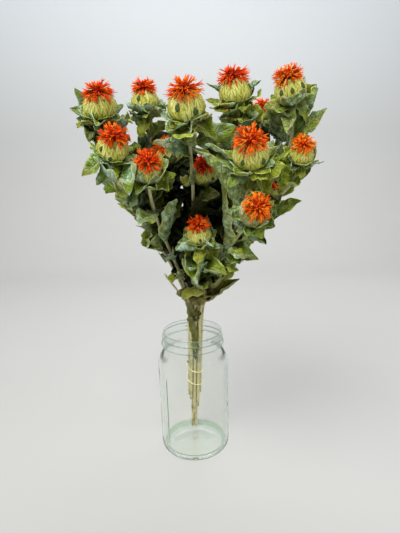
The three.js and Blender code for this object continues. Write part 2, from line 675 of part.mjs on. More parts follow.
// The first way in which a blade has room. Its foot may meet the wood and the blades of its own plant
function firstClear(node, tries, makeTry, rings, foot = () => undefined, fits = () => true) {
  for (let attempt = 0; attempt < tries; attempt += 1) {
    const leaf = makeTry(attempt);
    if (!fits(leaf)) {
      continue;
    }
    const guard = bladeSolid(leaf, rings, {
      foot: foot(leaf, CLEARANCE / 2),
      thickness: BLADE_THICKNESS + 2 * CLEARANCE,
      margin: CLEARANCE,
    });
    const outer = bladeSolid(leaf, rings.slice(foot(leaf) ? 0 : 1));
    if (isClear(guard, outer, node)) {
      stand(node, bladeSolid(leaf, rings, { foot: foot(leaf, 0) }), outer);
      return leaf;
    }
  }
  return null;
}

const name = (kind, number) => `${kind}_${String(number).padStart(2, '0')}`;

const jar = stand('jar', jarSolid());
const tie = stand('tie', tieSolid());
const frames = Object.fromEntries(Object.keys(heads).map((key) => [key, headFrame(Number(key))]));
const cups = {};
const tufts = {};
for (const [key, head] of Object.entries(frames)) {
  cups[key] = stand(name('cup', key), cupSolid(head));
  tufts[key] = stand(name('tuft', key), tuftSolid(head));
}

const plants = stems.map((stem, index) => {
  const head = frames[stem.head];
  const start = bundlePoint(stem.slot, BUNDLE_LENGTH);
  const main = curveBetween(start, bundleAxis, head.stemEnd, head.axis, stem.reach ?? [0.3, 0.35]);
  const straight = [bundlePoint(stem.slot, stem.cut), bundlePoint(stem.slot, SPREAD_FROM)];
  let wood = stemSolid(straight, main, 6, STEM_RADIUS, STEM_TOP_RADIUS);
  const curves = [main];
  for (const [share, number, reach] of stem.forks) {
    const end = frames[number];
    const way = main.getTangent(share);
    const branch = curveBetween(main.getPoint(share), way, end.stemEnd, end.axis, reach ?? [0.25, 0.4]);
    wood = wood.add(stemSolid([], branch, 4, BRANCH_RADIUS, BRANCH_RADIUS));
    curves.push(branch);
  }
  if (stem.twig) {
    const from = main.getPoint(TWIG_SHARE);
    const way = vector(stem.twig).sub(from).normalize();
    const twig = curveBetween(from, main.getTangent(TWIG_SHARE), vector(stem.twig), way, [0.3, 0.3]);
    wood = wood.add(stemSolid([], twig, 2, BRANCH_RADIUS, BRANCH_RADIUS));
  }
  const node = name('leafy_stem', index + 1);
  stand(`${node} stem`, wood);
  return { node, wood, curves, stem, index, growth: [] };
});

for (const plant of plants) {
  for (const number of [plant.stem.head, ...plant.stem.forks.map((fork) => fork[1])]) {
    const head = frames[number];
    const bracts = Array.from({ length: head.bracts }, (_, index) => {
      const makeTry = (attempt) => bractTry(head, index, attempt);
      const foot = (bract, margin) => collarFoot(head, bract, margin);
      return firstClear(plant.node, TRIES, makeTry, BRACT_RINGS, foot) ?? shortBract(head, index);
    });
    plant.growth.push(collarSolid(head, bracts));
  }
}
frontLeaves.forEach((front, index) => {
  const plant = plants[front.stem - 1];
  const makeTry = (attempt) => frontLeafTry(plant.curves[front.fork ?? 0], front, index, attempt);
  const leaf = firstClear(plant.node, FRONT_TRIES, makeTry, [ROOT_STEP, ...LEAF_RINGS]);
  if (leaf) {
    plant.growth.push(bladeSolid(leaf, LEAF_RINGS, { rooted: true }));
  }
});
for (const plant of plants) {
  plant.curves.forEach((curve, order) => {
    const count = order === 0 ? plant.stem.leaves : LEAVES_ON_BRANCH;
    const [column, row] = plant.stem.slot;
    const outward = Math.atan2((row - 1 / 3) * Math.sqrt(3), 2 * column + row - 1);
    for (let index = 0; index < count; index += 1) {
      const seedRow = plant.index + order * 12;
      const makeTry = (attempt) => leafTry(curve, seedRow, index, count, outward, attempt);
      const rings = makeTry(0).length < SMALL_LEAF ? SMALL_LEAF_RINGS : LEAF_RINGS;
      const leaf = firstClear(plant.node, TRIES, makeTry, [ROOT_STEP, ...rings], undefined, inCrown);
      if (leaf) {
        plant.growth.push(bladeSolid(leaf, rings, { rooted: true }));
      }
    }
  });
}

const object = new THREE.Group();
object.add(meshOf('jar', jar, 0xcfe0d2, 0.05));
object.add(meshOf('tie', tie, 0xcdbb7c, 0.8));
for (const plant of plants) {
  const solid = plant.growth.reduce((whole, piece) => whole.add(piece), plant.wood);
  object.add(meshOf(plant.node, solid, 0x6d7440, 0.85));
}
for (const key of Object.keys(heads)) {
  object.add(meshOf(name('cup', key), cups[key], 0xb9bb72, 0.8));
  object.add(meshOf(name('tuft', key), tufts[key], 0xd9531e, 0.85));
}

export default object;
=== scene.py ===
import math

import bpy
import numpy as np
from mathutils import Matrix, Vector, noise
from mathutils.bvhtree import BVHTree
from mathutils.kdtree import KDTree


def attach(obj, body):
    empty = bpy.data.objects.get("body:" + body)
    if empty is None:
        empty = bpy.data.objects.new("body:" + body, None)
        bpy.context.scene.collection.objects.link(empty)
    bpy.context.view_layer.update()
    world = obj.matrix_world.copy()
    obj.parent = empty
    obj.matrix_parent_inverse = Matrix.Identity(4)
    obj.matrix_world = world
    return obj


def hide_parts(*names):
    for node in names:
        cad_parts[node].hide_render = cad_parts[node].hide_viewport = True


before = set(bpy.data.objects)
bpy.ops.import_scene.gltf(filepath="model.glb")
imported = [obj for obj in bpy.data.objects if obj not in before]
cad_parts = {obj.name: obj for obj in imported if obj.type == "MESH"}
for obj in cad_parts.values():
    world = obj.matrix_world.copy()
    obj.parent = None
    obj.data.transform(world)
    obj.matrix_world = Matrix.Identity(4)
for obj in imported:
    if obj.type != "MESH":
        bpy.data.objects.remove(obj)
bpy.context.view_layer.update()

MM = 0.001


# Studio. The jar stands on a plain pale sheet that sweeps up behind it into the backdrop. Three wide soft
# panels and a pale room light it, so that no hard shadow falls, and a fourth panel lights the backdrop.
CAMERA_AT = (0.0132, -0.5507, 0.4078)
CAMERA_DOWN = math.radians(14.44)
CAMERA_ROLL = math.radians(-1.57)
PHOTO_FOCAL = 430
PHOTO_HEIGHT = 533
SENSOR = 36
SHEET_WIDTH = 4.0
SHEET_FRONT = -1.6
SHEET_BEND = 0.9
SHEET_BEND_RADIUS = 0.5
SHEET_BEND_STEPS = 12
SHEET_TOP = 2.4
ROOM_COLOUR = (0.93, 0.95, 0.96, 1)
ROOM_LIGHT = 0.30
# name, place, what it points at, size, power, colour
panels = [
    ("panel_left", (-0.45, -0.95, 1.4), (0, -0.1, 0.35), (1.0, 1.0), 32, (1.0, 0.98, 0.94)),
    ("panel_right", (1.2, -0.6, 0.9), (0, 0, 0.3), (0.8, 0.8), 8, (0.95, 0.98, 1.0)),
    ("panel_above_behind", (0.25, 0.4, 1.3), (0.1, 0.15, 0), (1.2, 0.8), 7, (0.97, 0.99, 1.0)),
    ("panel_for_backdrop", (0, 0.4, 1.5), (0, 1.5, 0.9), (2.4, 0.4), 20, (0.94, 0.97, 1.0)),
]


def placed(name, data):
    """A new object in the scene."""
    thing = bpy.data.objects.new(name, data)
    bpy.context.collection.objects.link(thing)
    return thing


ahead = Vector((0, math.cos(CAMERA_DOWN), -math.sin(CAMERA_DOWN)))
level = Vector((1, 0, 0))
upright = level.cross(ahead)
turned_right = level * math.cos(CAMERA_ROLL) + upright * math.sin(CAMERA_ROLL)
turned_up = upright * math.cos(CAMERA_ROLL) - level * math.sin(CAMERA_ROLL)
lens = bpy.data.cameras.new("camera")
lens.sensor_width = SENSOR
lens.lens = PHOTO_FOCAL * SENSOR / PHOTO_HEIGHT
camera = placed("camera", lens)
camera.matrix_world = Matrix((turned_right, turned_up, -ahead)).transposed().to_4x4()
camera.location = CAMERA_AT
bpy.context.scene.camera = camera
bpy.context.scene.view_settings.view_transform = "Standard"


class Socket:
    """A shader socket that takes part in Python arithmetic."""

    def __init__(self, tree, link):
        self.tree = tree
        self.link = link

    def make(self, kind, settings=None, sockets=None, output=0):
        """A new node with its settings, then the values or links of its sockets."""
        node = self.tree.nodes.new("ShaderNode" + kind)
        for name, value in (settings or {}).items():
            setattr(node, name, value)
        for name, value in (sockets or {}).items():
            if isinstance(value, Socket):
                self.tree.links.new(value.link, node.inputs[name])
            elif isinstance(value, tuple) and node.inputs[name].type == "RGBA":
                node.inputs[name].default_value = (*value, 1)
            else:
                node.inputs[name].default_value = value
        return Socket(self.tree, node.outputs[output])

    def maths(self, operation, *values):
        return self.make("Math", {"operation": operation}, dict(enumerate(values)))

    def __add__(self, other):
        return self.maths("ADD", self, other)

    __radd__ = __add__

    def __sub__(self, other):
        return self.maths("SUBTRACT", self, other)

    def __rsub__(self, other):
        return self.maths("SUBTRACT", other, self)

    def __mul__(self, other):
        return self.maths("MULTIPLY", self, other)

    __rmul__ = __mul__

    def __abs__(self):
        return self.maths("ABSOLUTE", self)

    def fraction(self):
        return self.maths("FRACT", self)

    def blend(self, low, high):
        """A colour that goes from low to high as this value goes from 0 to 1."""
        return self.make("Mix", {"data_type": "RGBA"}, {0: self, 6: low, 7: high}, 2)

    def limited(self, low, high):
        """0 below low, 1 above high, and straight between."""
        return self.make("MapRange", {}, {0: self, 1: low, 2: high})

    def place(self):
        return self.make("TexCoord", output=3)

    def mark(self, name):
        """A number that the piece holds for each of its points."""
        return self.make("Attribute", {"attribute_name": name}, output=2)

    def speckle(self, place, scale, detail, **others):
        return self.make("TexNoise", {}, {"Vector": place, "Scale": scale, "Detail": detail, **others})

    def relief(self, height, strength, distance):
        return self.make("Bump", {}, {"Strength": strength, "Distance": distance, "Height": height})

    def surface(self, colour, roughness, normal=None, **others):
        """The shader of the surface, other sockets written with _ for a space."""
        sockets = {name.replace("_", " "): value for name, value in others.items()}
        if normal:
            sockets["Normal"] = normal
        return self.make("BsdfPrincipled", {}, {"Base Color": colour, "Roughness": roughness, **sockets})


def finish_of(name, paint):
    """A material whose surface is what paint makes of an empty socket."""
    material = bpy.data.materials.new(name)
    material.use_nodes = True
    tree = material.node_tree
    tree.nodes.clear()
    surface = paint(Socket(tree, None))
    out = tree.nodes.new("ShaderNodeOutputMaterial")
    tree.links.new(surface.link, out.inputs["Surface"])
    return material


def paper(s):
    place = s.place()
    # Painted light: the sheet turns a little lighter and bluer up the backdrop than on the floor.
    high = s.make("SeparateXYZ", {}, {0: place}, 2).limited(0.25, 1.0)
    colour = high.blend((0.425, 0.42, 0.408), (0.44, 0.465, 0.485))
    return s.surface((s.speckle(place, 6.0, 3.0) * 0.5).blend(colour, (0.45, 0.452, 0.448)), 0.8)


sweep = [(SHEET_FRONT, 0.0)]
for angle in np.linspace(0, math.pi / 2, SHEET_BEND_STEPS + 1):
    sweep.append((SHEET_BEND + SHEET_BEND_RADIUS * math.sin(angle),
                  SHEET_BEND_RADIUS * (1 - math.cos(angle))))
sweep.append((SHEET_BEND + SHEET_BEND_RADIUS, SHEET_TOP))
sheet_mesh = bpy.data.meshes.new("paper_sheet")
sheet_mesh.from_pydata(
    [(x, y, z) for y, z in sweep for x in (-SHEET_WIDTH / 2, SHEET_WIDTH / 2)], [],
    [(2 * k, 2 * k + 1, 2 * k + 3, 2 * k + 2) for k in range(len(sweep) - 1)])
sheet_mesh.shade_smooth()
sheet_mesh.materials.append(finish_of("pale_paper", paper))
placed("paper_sheet", sheet_mesh)

for name, at, towards, size, power, colour in panels:
    light = bpy.data.lights.new(name, "AREA")
    light.shape = "RECTANGLE"
    light.size, light.size_y = size
    light.energy = power
    light.color = colour
    panel = placed(name, light)
    panel.location = at
    panel.rotation_euler = (Vector(towards) - Vector(at)).to_track_quat("-Z", "Y").to_euler()
world = bpy.data.worlds.new("pale_room")
world.use_nodes = True
world.node_tree.nodes["Background"].inputs["Color"].default_value = ROOM_COLOUR
world.node_tree.nodes["Background"].inputs["Strength"].default_value = ROOM_LIGHT
bpy.context.scene.world = world


# Jar. A wide-mouthed preserving jar, machine-moulded in one piece of clear glass with a faint green cast:
# foot, body, shoulder, bead, screw thread and lip. The two mould halves leave a fine seam on each side.
FOOT_RADIUS = 38
HEEL_RADIUS = 10.5
BODY_RADIUS = FOOT_RADIUS + HEEL_RADIUS
INNER_RADIUS = BODY_RADIUS - 3.2
FLOOR = 6
FLOOR_DOME = 0.9
INNER_HEEL_RADIUS = 9
SHOULDER_FOOT = 130
SHOULDER_TOP = 156.5
INNER_SHOULDER_FOOT = SHOULDER_FOOT - 2
NECK_RADIUS = 40.3
MOUTH_RADIUS = 37.9
BEAD_RADIUS = 43
BEAD_HEIGHT = 160
BEAD_HALF = 2.3
JAR_HEIGHT = 177
JAR_SIDES = 120
LIP_ROUND = 1.1
THREAD_DEPTH = 1.6
THREAD_PITCH = 5
THREAD_TURNS = 1.2
THREAD_MIDDLE = 168.5
THREAD_HALF = 1.7
SEAM_AZIMUTH = -2.39
SEAM_FOOT, SEAM_TOP = 22, 121
SEAM_FADE = 6
SEAM_DEPTH = 0.7
SEAM_HALF = 0.019
seams = {SEAM_AZIMUTH: 1, SEAM_AZIMUTH + math.pi: 0.08}
PUSH_UP_RADIUS = 31
PUSH_UP = 2.2
GREEN_HEEL = 10
GREEN_NECK = 138


def held(number):
    """A number kept between 0 and 1."""
    return min(1, max(0, number))


def outer_radius(height):
    """The jar's outside radius without its thread and seams."""
    if height < HEEL_RADIUS:
        return FOOT_RADIUS + math.sqrt(max(0, HEEL_RADIUS ** 2 - (HEEL_RADIUS - height) ** 2))
    if height < SHOULDER_FOOT:
        return BODY_RADIUS
    if height < SHOULDER_TOP:
        share = (height - SHOULDER_FOOT) / (SHOULDER_TOP - SHOULDER_FOOT)
        return NECK_RADIUS + (BODY_RADIUS - NECK_RADIUS) * (0.5 + 0.5 * math.cos(math.pi * share))
    bead = max(0, 1 - ((height - BEAD_HEIGHT) / BEAD_HALF) ** 2)
    return NECK_RADIUS + (BEAD_RADIUS - NECK_RADIUS) * math.sqrt(bead)


def thread_rise(angle, height):
    """How far the screw thread stands out of the neck."""
    rise = 0
    for lap in (-1, 0, 1):
        turns = ((angle + math.pi / 2) / (2 * math.pi) + 0.5) % 1 - 0.5 + lap
        if abs(turns) < THREAD_TURNS / 2:
            fade = min(1, (THREAD_TURNS / 2 - abs(turns)) / 0.06)
            off = (height - (THREAD_MIDDLE - THREAD_PITCH * turns)) / THREAD_HALF
            rise = max(rise, THREAD_DEPTH * fade * max(0, 1 - off * off) ** 0.8)
    return rise


def seam_rise(angle, height):
    """How far the fine line between the mould halves stands out."""
    ends = min(held((height - SEAM_FOOT) / SEAM_FADE), held((SEAM_TOP - height) / SEAM_FADE))
    offs = [(((angle - seam + math.pi) % (2 * math.pi) - math.pi) / SEAM_HALF, share)
            for seam, share in seams.items()]
    return max(SEAM_DEPTH * share * ends * max(0, 1 - off * off) for off, share in offs)


class Shape:
    """A piece in the making: its points in millimetres, its faces, and marks for its finish to read."""

    def __init__(self, *marks):
        self.points, self.faces, self.slots = [], [], []
        self.marks = {key: [] for key in marks}

    def add(self, points, faces, slot=0, **marks):
        """Joins a closed part to the piece. A mark is one number, or one for each point."""
        first = len(self.points)
        self.points.extend(points)
        self.faces.extend(tuple(first + corner for corner in face) for face in faces)
        self.slots.extend([slot] * len(faces))
        for key, kept in self.marks.items():
            kept.extend(np.broadcast_to(marks.get(key, 0.0), len(points)).tolist())

    def made(self, name, group, materials, node=None):
        """The smooth object, which stands for its CAD node where it has one."""
        mesh = bpy.data.meshes.new(name)
        mesh.from_pydata((np.asarray(self.points, float) * MM).tolist(), [], self.faces)
        for key, values in self.marks.items():
            kept = mesh.attributes.new(key, "FLOAT", "POINT").data
            kept.foreach_set("value", np.asarray(values, np.float32))
        for material in materials:
            mesh.materials.append(material)
        mesh.polygons.foreach_set("material_index", np.asarray(self.slots, np.int32))
        mesh.shade_smooth()
        piece = placed(name, mesh)
        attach(piece, "root")
        if node:
            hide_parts(node)
        return piece


def tube_faces(rows, columns):
    """Quads between closed rings of points, with a cap on the first ring and on the last one."""
    faces = [tuple(reversed(range(columns))), tuple(range((rows - 1) * columns, rows * columns))]
    for first in range(0, (rows - 1) * columns, columns):
        for column in range(columns):
            a, b = first + column, first + (column + 1) % columns
            faces.append((a, b, b + columns, a + columns))
    return faces


heights = [HEEL_RADIUS * (1 - math.cos(angle)) for angle in np.linspace(0, math.pi / 2, 9)]
heights += list(np.linspace(HEEL_RADIUS, SHOULDER_FOOT, 25)[1:])
heights += list(np.linspace(SHOULDER_FOOT, SHOULDER_TOP, 15)[1:])
heights += list(np.linspace(SHOULDER_TOP, JAR_HEIGHT - LIP_ROUND, 46)[1:])
angles = list(np.linspace(-math.pi, math.pi, JAR_SIDES + 1)[:-1])
angles += [seam + SEAM_HALF * off for seam in seams for off in (-1, -0.5, 0, 0.5, 1)]
angles = sorted((angle + math.pi) % (2 * math.pi) - math.pi for angle in angles)
outline = [(radius, PUSH_UP * (1 - (radius / PUSH_UP_RADIUS) ** 2) + 0.3) for radius in (0.5, 8, 16, 24, 29)]
outline += [(PUSH_UP_RADIUS + 1.5, 0.12), (PUSH_UP_RADIUS + 4, 0)]
underside = len(outline)
outline += [(outer_radius(height), height) for height in heights]
outside = len(outline)
for angle in np.linspace(0, math.pi / 2, 5)[1:]:
    outline.append((NECK_RADIUS - LIP_ROUND * (1 - math.cos(angle)),
                    JAR_HEIGHT - LIP_ROUND * (1 - math.sin(angle))))
outline += [(MOUTH_RADIUS + 0.6, JAR_HEIGHT - 0.15), (MOUTH_RADIUS, JAR_HEIGHT - 0.9)]
for share in np.linspace(1, 0, 15):
    swell = 0.5 + 0.5 * math.cos(math.pi * share)
    outline.append((MOUTH_RADIUS + (INNER_RADIUS - MOUTH_RADIUS) * swell,
                    INNER_SHOULDER_FOOT + (SHOULDER_TOP - SHOULDER_FOOT) * share))
for height in np.linspace(INNER_SHOULDER_FOOT, FLOOR + INNER_HEEL_RADIUS, 16)[1:]:
    outline.append((INNER_RADIUS, height))
for angle in np.linspace(math.pi / 2, 0, 8)[1:]:
    outline.append((INNER_RADIUS - INNER_HEEL_RADIUS * (1 - math.sin(angle)),
                    FLOOR + INNER_HEEL_RADIUS * (1 - math.cos(angle))))
floor_from = len(outline) - 4
outline += [(radius, FLOOR + FLOOR_DOME * (1 - (radius / 37) ** 2)) for radius in (30, 20, 10, 0.5)]

# The mark "thick" is how green the glass looks: at its heel, seams, bead, thread, lip and floor. "even" is
# how much of the light goes straight through a coloured layer instead of bending.
points, thick_glass, even_glass = [], [], []
for row, (radius, height) in enumerate(outline):
    is_outer = underside < row < outside
    for angle in angles:
        rise = 0
        if is_outer:
            rise = thread_rise(angle, height) if height > BEAD_HEIGHT else seam_rise(angle, height)
        points.append(((radius + rise) * math.cos(angle), (radius + rise) * math.sin(angle), height))
        if row >= floor_from:
            thick = 0.5
        elif height > JAR_HEIGHT - 2:
            thick = max(0, 1 - abs(row - outside) / 3.5)
        elif height < SEAM_TOP:
            heel = 0.85 * held((GREEN_HEEL - height) / 6) if is_outer else 0
            thick = max(min(1, rise / 0.4), heel)
        else:
            thick = max(0, rise / THREAD_DEPTH * 2.2 - 1.2, 1 - abs(height - BEAD_HEIGHT + 1) / 2.2)
        thick_glass.append(thick)
        even_glass.append(max(thick, 0.8 * held((height - GREEN_NECK) / 8)))


def clear_glass(s):
    place = s.place()
    thick = s.mark("thick")
    grazing = s.make("LayerWeight", {}, {"Blend": 0.35}, 1)
    swim = s.speckle(place, 55.0, 1.0)
    ripple = s.relief(swim, 0.10, 0.003)
    tint = swim.limited(0.3, 0.7).blend((0.965, 0.98, 0.95), (0.98, 0.99, 0.97))
    tint = grazing.limited(0.35, 1.0).blend(tint, (0.74, 0.87, 0.77))
    clear = s.surface(tint, s.speckle(place, 260.0, 2.0) * 0.02, ripple, Transmission_Weight=1.0, IOR=1.22)
    deep = thick.limited(0.5, 1.0).blend((0.30, 0.40, 0.31), (0.09, 0.22, 0.12))
    veil = thick.limited(0.1, 1.0) * 0.72 + grazing.limited(0.4, 1.0) * 0.4 + 0.08
    green = s.surface(deep, 0.12, ripple, Alpha=veil)
    return s.make("MixShader", {}, {0: s.mark("even").limited(0.0, 0.8) * 0.9, 1: clear, 2: green})


shell = Shape("thick", "even")
shell.add(points, tube_faces(len(outline), len(angles)), thick=thick_glass, even=even_glass)
jar = shell.made("glass_jar", "jar", [finish_of("clear_green_glass", clear_glass)], "jar")
jar.visible_shadow = False
jar.visible_diffuse = False


# Stems. Dried safflower stalks, straw pale, finely ribbed and a little crooked, cut at different heights
# and gathered so tightly that they stand as one sheaf in the jar. Most branch once or twice near their top.
BUNDLE_FOOT = np.array((-2, 32, 8.0))
BUNDLE_RIM = np.array((4.5, -26, 177))
STEM_SPACING = 4.9
STEM_SPACING_TOP = 5.3
SPREAD_FROM = 130
BUNDLE_LENGTH = 216
STEM_RADIUS = 2.1
STEM_TOP_RADIUS = 1.6
BRANCH_RADIUS = 1.4
TWIG_TIP_RADIUS = 1.1
STEM_SIDES = 10
STEM_ROW = 6
FREE_STEM_ROWS = 40
BRANCH_ROWS = 26
TWIG_ROWS = 12
KNOT_SPACING = 27
TWIG_SHARE = 0.03
CUP_HEIGHT = 0.76
COLLAR_TOP = -0.4
COLLAR_BOTTOM = -1.8
SAME_CORNER = 2e-5
X = np.array((1.0, 0, 0))

# number: middle of the cup, the cup's width, how far it tips along X and Y for a rise of 1, its bracts
heads = {
    1: ((-73, -140, 454), 29, (0.08, -0.6), 7),
    2: ((-35, -112, 461), 25, (0, -0.3), 6),
    3: ((5, -165, 450), 31, (-0.08, -0.65), 7),
    4: ((50, -125, 465), 30, (-0.2, -0.3), 6),
    5: ((100, -130, 464), 29, (-0.25, -0.35), 7),
    6: ((-60, -160, 417), 27, (0.35, -0.75), 6),
    7: ((-30, -161, 397), 25, (0.15, -1), 9),
    8: ((-16, -105, 410), 24, (-0.2, -0.5), 5),
    9: ((59, -172, 409), 31, (-0.1, -0.8), 8),
    10: ((108, -150, 407), 22, (0, -0.7), 7),
    11: ((21, -111, 391), 24, (-0.05, -0.8), 5),
    12: ((63, -172, 359), 27, (0.15, -2.2), 9),
    13: ((13, -125, 332), 24, (0, -0.4), 6),
    14: ((86, -113, 371), 14, (0.15, -0.4), 4),
    15: ((82, -75, 446), 24, (0.1, -0.3), 5),
    16: ((57, -50, 449), 24, (-0.1, 0), 5),
    17: ((-84, -55, 450), 27, (-0.3, 0), 6),
    18: ((5, -62, 449), 27, (0, 0.05), 5),
    19: ((117, -60, 455), 27, (0.3, 0), 6),
    20: ((-42, -15, 428), 26, (-0.25, 0.4), 6),
    21: ((38, -10, 414), 26, (0.1, 0.45), 6),
    22: ((99, -12, 401), 25, (0.4, 0.35), 6),
}
# place in the sheaf, distance of the cut end, head, leaves, forks as (share of the free stem, head), twig
stems = [
    ((-1, 0), 70, 1, 9, ((0.5, 6),), None),
    ((-1, 1), 60, 2, 8, ((0.62, 8),), None),
    ((0, 0), 0, 3, 8, (), None),
    ((1, 1), 40, 4, 8, ((0.6, 15),), None),
    ((2, 0), 76, 5, 8, ((0.55, 10), (0.4, 14)), None),
    ((0, -1), 66, 7, 9, (), (-29, -58, 273)),
    ((2, -1), 58, 9, 8, ((0.3, 12),), None),
    ((1, 0), 0, 11, 6, (), None),
    ((0, 1), 3, 18, 7, ((0.55, 21),), None),
    ((0, 2), 62, 19, 8, ((0.6, 16), (0.45, 22)), None),
    ((-1, 2), 72, 17, 8, ((0.5, 20),), None),
    ((1, -1), 34, 13, 6, (), None),
]


def unit(v):
    return np.asarray(v, float) / np.linalg.norm(v)


def draw(a, b, c=0):
    """The same number between 0 and 1 for the same three seeds."""
    wave = math.sin(a * 12.9898 + b * 78.233 + c * 37.719) * 43758.5453
    return wave - math.floor(wave)


def between(low, high, share):
    return low + (high - low) * share


def chances(a, b=None, attempt=0):
    """Draws for one part, each by its own number and between its own limits."""
    def chance(part, low=0, high=1):
        return between(low, high, draw(a, part, attempt) if b is None else draw(a, b, part))
    return chance


def crossing(along):
    """Two directions square to a stem and to each other, the first one towards +X."""
    across = unit(X - along * X.dot(along))
    return across, np.cross(along, across)


def spoke(along, angle):
    """The direction square to a stem at an angle round it."""
    across, other = crossing(along)
    return across * math.cos(angle) + other * math.sin(angle)


def ring(place, way, radii):
    """Points round a place and square to the way through it, one for each radius."""
    across, other = crossing(way)
    turns = [2 * math.pi * side / len(radii) for side in range(len(radii))]
    return [place + (across * math.cos(turn) + other * math.sin(turn)) * radius
            for turn, radius in zip(turns, radii)]


def ways_of(path):
    return [unit(after - before) for before, after in zip(path[:1] + path[:-1], path[1:] + path[-1:])]


bundle_axis = unit(BUNDLE_RIM - BUNDLE_FOOT)


def bundle_point(slot, distance):
    column, row = slot
    widened = held((distance - SPREAD_FROM) / (BUNDLE_LENGTH - SPREAD_FROM))
    spacing = between(STEM_SPACING, STEM_SPACING_TOP, widened)
    across, back = crossing(bundle_axis)
    aside = column + row / 2 - 0.5
    behind = row * math.sqrt(3) / 2 - math.sqrt(3) / 6
    return BUNDLE_FOOT + bundle_axis * distance + across * aside * spacing + back * behind * spacing


class Curve:
    """A cubic through a start and an end, with a handle at each."""

    def __init__(self, start, start_way, end, end_way, reach=(0.3, 0.35)):
        span = np.linalg.norm(end - start)
        self.points = (start, start + start_way * span * reach[0], end - end_way * span * reach[1], end)

    def at(self, share):
        a, b, c, d = self.points
        rest = 1 - share
        return rest ** 3 * a + 3 * rest ** 2 * share * b + 3 * rest * share ** 2 * c + share ** 3 * d

    def tangent(self, share, step=0.0001):
        return unit(self.at(min(1, share + step)) - self.at(max(0, share - step)))

    def length(self, steps=200):
        places = [self.at(step / steps) for step in range(steps + 1)]
        return sum(np.linalg.norm(b - a) for a, b in zip(places, places[1:]))

    def path(self, count):
        return [self.at(share) for share in np.linspace(0, 1, count)]


class Head:
    """Where a flower head stands, and which way it faces."""

    def __init__(self, number):
        at, self.size, lean, self.bracts = heads[number]
        self.number = number
        self.axis = unit((*lean, 1))
        self.rise = self.size * CUP_HEIGHT
        self.middle = np.array(at, float)
        self.base = self.middle - self.axis * self.rise / 2
        self.stem_end = self.base + self.axis * (COLLAR_TOP + COLLAR_BOTTOM) / 2
        self.top = self.base + self.axis * self.rise


flower_heads = {number: Head(number) for number in heads}


class Plant(Shape):
    """One stem: its curves, its heads, and the CAD node that it stands for."""

    def __init__(self, index):
        super().__init__("tone", "hue", "inside", "dead", "along", "aside", "under")
        self.slot, self.cut, head, self.leaves, self.forks, self.twig = stems[index]
        self.heads = [flower_heads[number] for number in (head, *(number for _, number in self.forks))]
        self.index = index
        self.node = f"leafy_stem_{index + 1:02d}"
        corners = [vertex.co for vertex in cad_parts[self.node].data.vertices]
        self.corners = KDTree(len(corners))
        for number, corner in enumerate(corners):
            self.corners.insert(corner, number)
        self.corners.balance()

    def carries(self, leaf):
        """Whether the stem's solid has a corner at the leaf's tip."""
        tip = leaf.midrib()[-1][0]
        return self.corners.find(Vector(tip * MM))[2] < SAME_CORNER

    def stalk(self, path, radii, seed):
        """A stalk through the path's points, with fine ribs and swollen knots."""
        points, along = [], []
        travelled = 0
        for row, (place, way, radius) in enumerate(zip(path, ways_of(path), radii)):
            travelled += np.linalg.norm(place - path[max(row - 1, 0)])
            knot = 1 + 0.12 * max(0, math.cos(travelled / KNOT_SPACING * 2 * math.pi + seed)) ** 12
            points += ring(place, way, [radius * knot * (1.03 if side % 2 else 0.93)
                                        for side in range(STEM_SIDES)])
            along += [travelled / 100] * STEM_SIDES
        self.add(points, tube_faces(len(path), STEM_SIDES), tone=draw(seed, 1), hue=draw(seed, 2),
                 along=along, aside=[side / STEM_SIDES for _ in path for side in range(STEM_SIDES)])


plants = [Plant(index) for index in range(len(stems))]
for plant in plants:
    head = plant.heads[0]
    main = Curve(bundle_point(plant.slot, BUNDLE_LENGTH), bundle_axis, head.stem_end, head.axis)
    plant.curves = [main]
    path = [bundle_point(plant.slot, distance) for distance in np.arange(plant.cut, BUNDLE_LENGTH, STEM_ROW)]
    radii = [STEM_RADIUS] * len(path) + list(np.linspace(STEM_RADIUS, STEM_TOP_RADIUS, FREE_STEM_ROWS))
    plant.stalk(path + main.path(FREE_STEM_ROWS), radii, plant.index + 1)
    for share, number in plant.forks:
        end = flower_heads[number]
        branch = Curve(main.at(share), main.tangent(share), end.stem_end, end.axis, (0.25, 0.4))
        plant.curves.append(branch)
        plant.stalk(branch.path(BRANCH_ROWS), [BRANCH_RADIUS] * BRANCH_ROWS, plant.index + 20 * number)
    if plant.twig:
        start, end = main.at(TWIG_SHARE), np.array(plant.twig, float)
        twig = Curve(start, main.tangent(TWIG_SHARE), end, unit(end - start), (0.3, 0.3))
        plant.stalk(twig.path(TWIG_ROWS), np.linspace(BRANCH_RADIUS, TWIG_TIP_RADIUS, TWIG_ROWS), 77)


def straw(s):
    place = s.place()
    along = s.make("Mapping", {}, {"Vector": place, "Scale": (1, 1, 0.08)})
    streak = s.speckle(along, 1800.0, 3.0)
    colour = s.mark("tone").blend((0.52, 0.46, 0.20), (0.40, 0.40, 0.16))
    colour = streak.limited(0.35, 0.7).blend(colour, (0.74, 0.69, 0.42))
    colour = s.speckle(place, 70.0, 3.0).limited(0.52, 0.72).blend(colour, (0.22, 0.17, 0.08))
    return s.surface(colour, streak * 0.2 + 0.55, s.relief(streak, 0.5, 0.0004))


straw_finish = finish_of("pale_straw", straw)


# Leaves and leafy bracts. Dry, leathery blades with a pale rib, side veins and small spiny teeth, olive on
# top and silvery below, each curled and twisted in its own way. They grow straight out of the stalk, and
# a whorl of them stands under every head. With its stalk they are one piece.
LEAF_STEPS = 24
LEAF_LENGTHS = (50, 38)
LEAF_WIDTHS = (0.44, 0.6)
LEAF_PITCHES = (1.25, 0.8)
LEAVES_ON_BRANCH = 3
FIRST_LEAF, LAST_LEAF = -0.1, 0.84
CURVE_SIDES = 5
BRACT_WIDTHS = (0.46, 0.62)
BRACT_FOOT_WIDTH = 0.221
RAGGED_EDGE = 0.14
WAVED_EDGE = 0.25
ROOT_HALF_WIDTH = 0.8
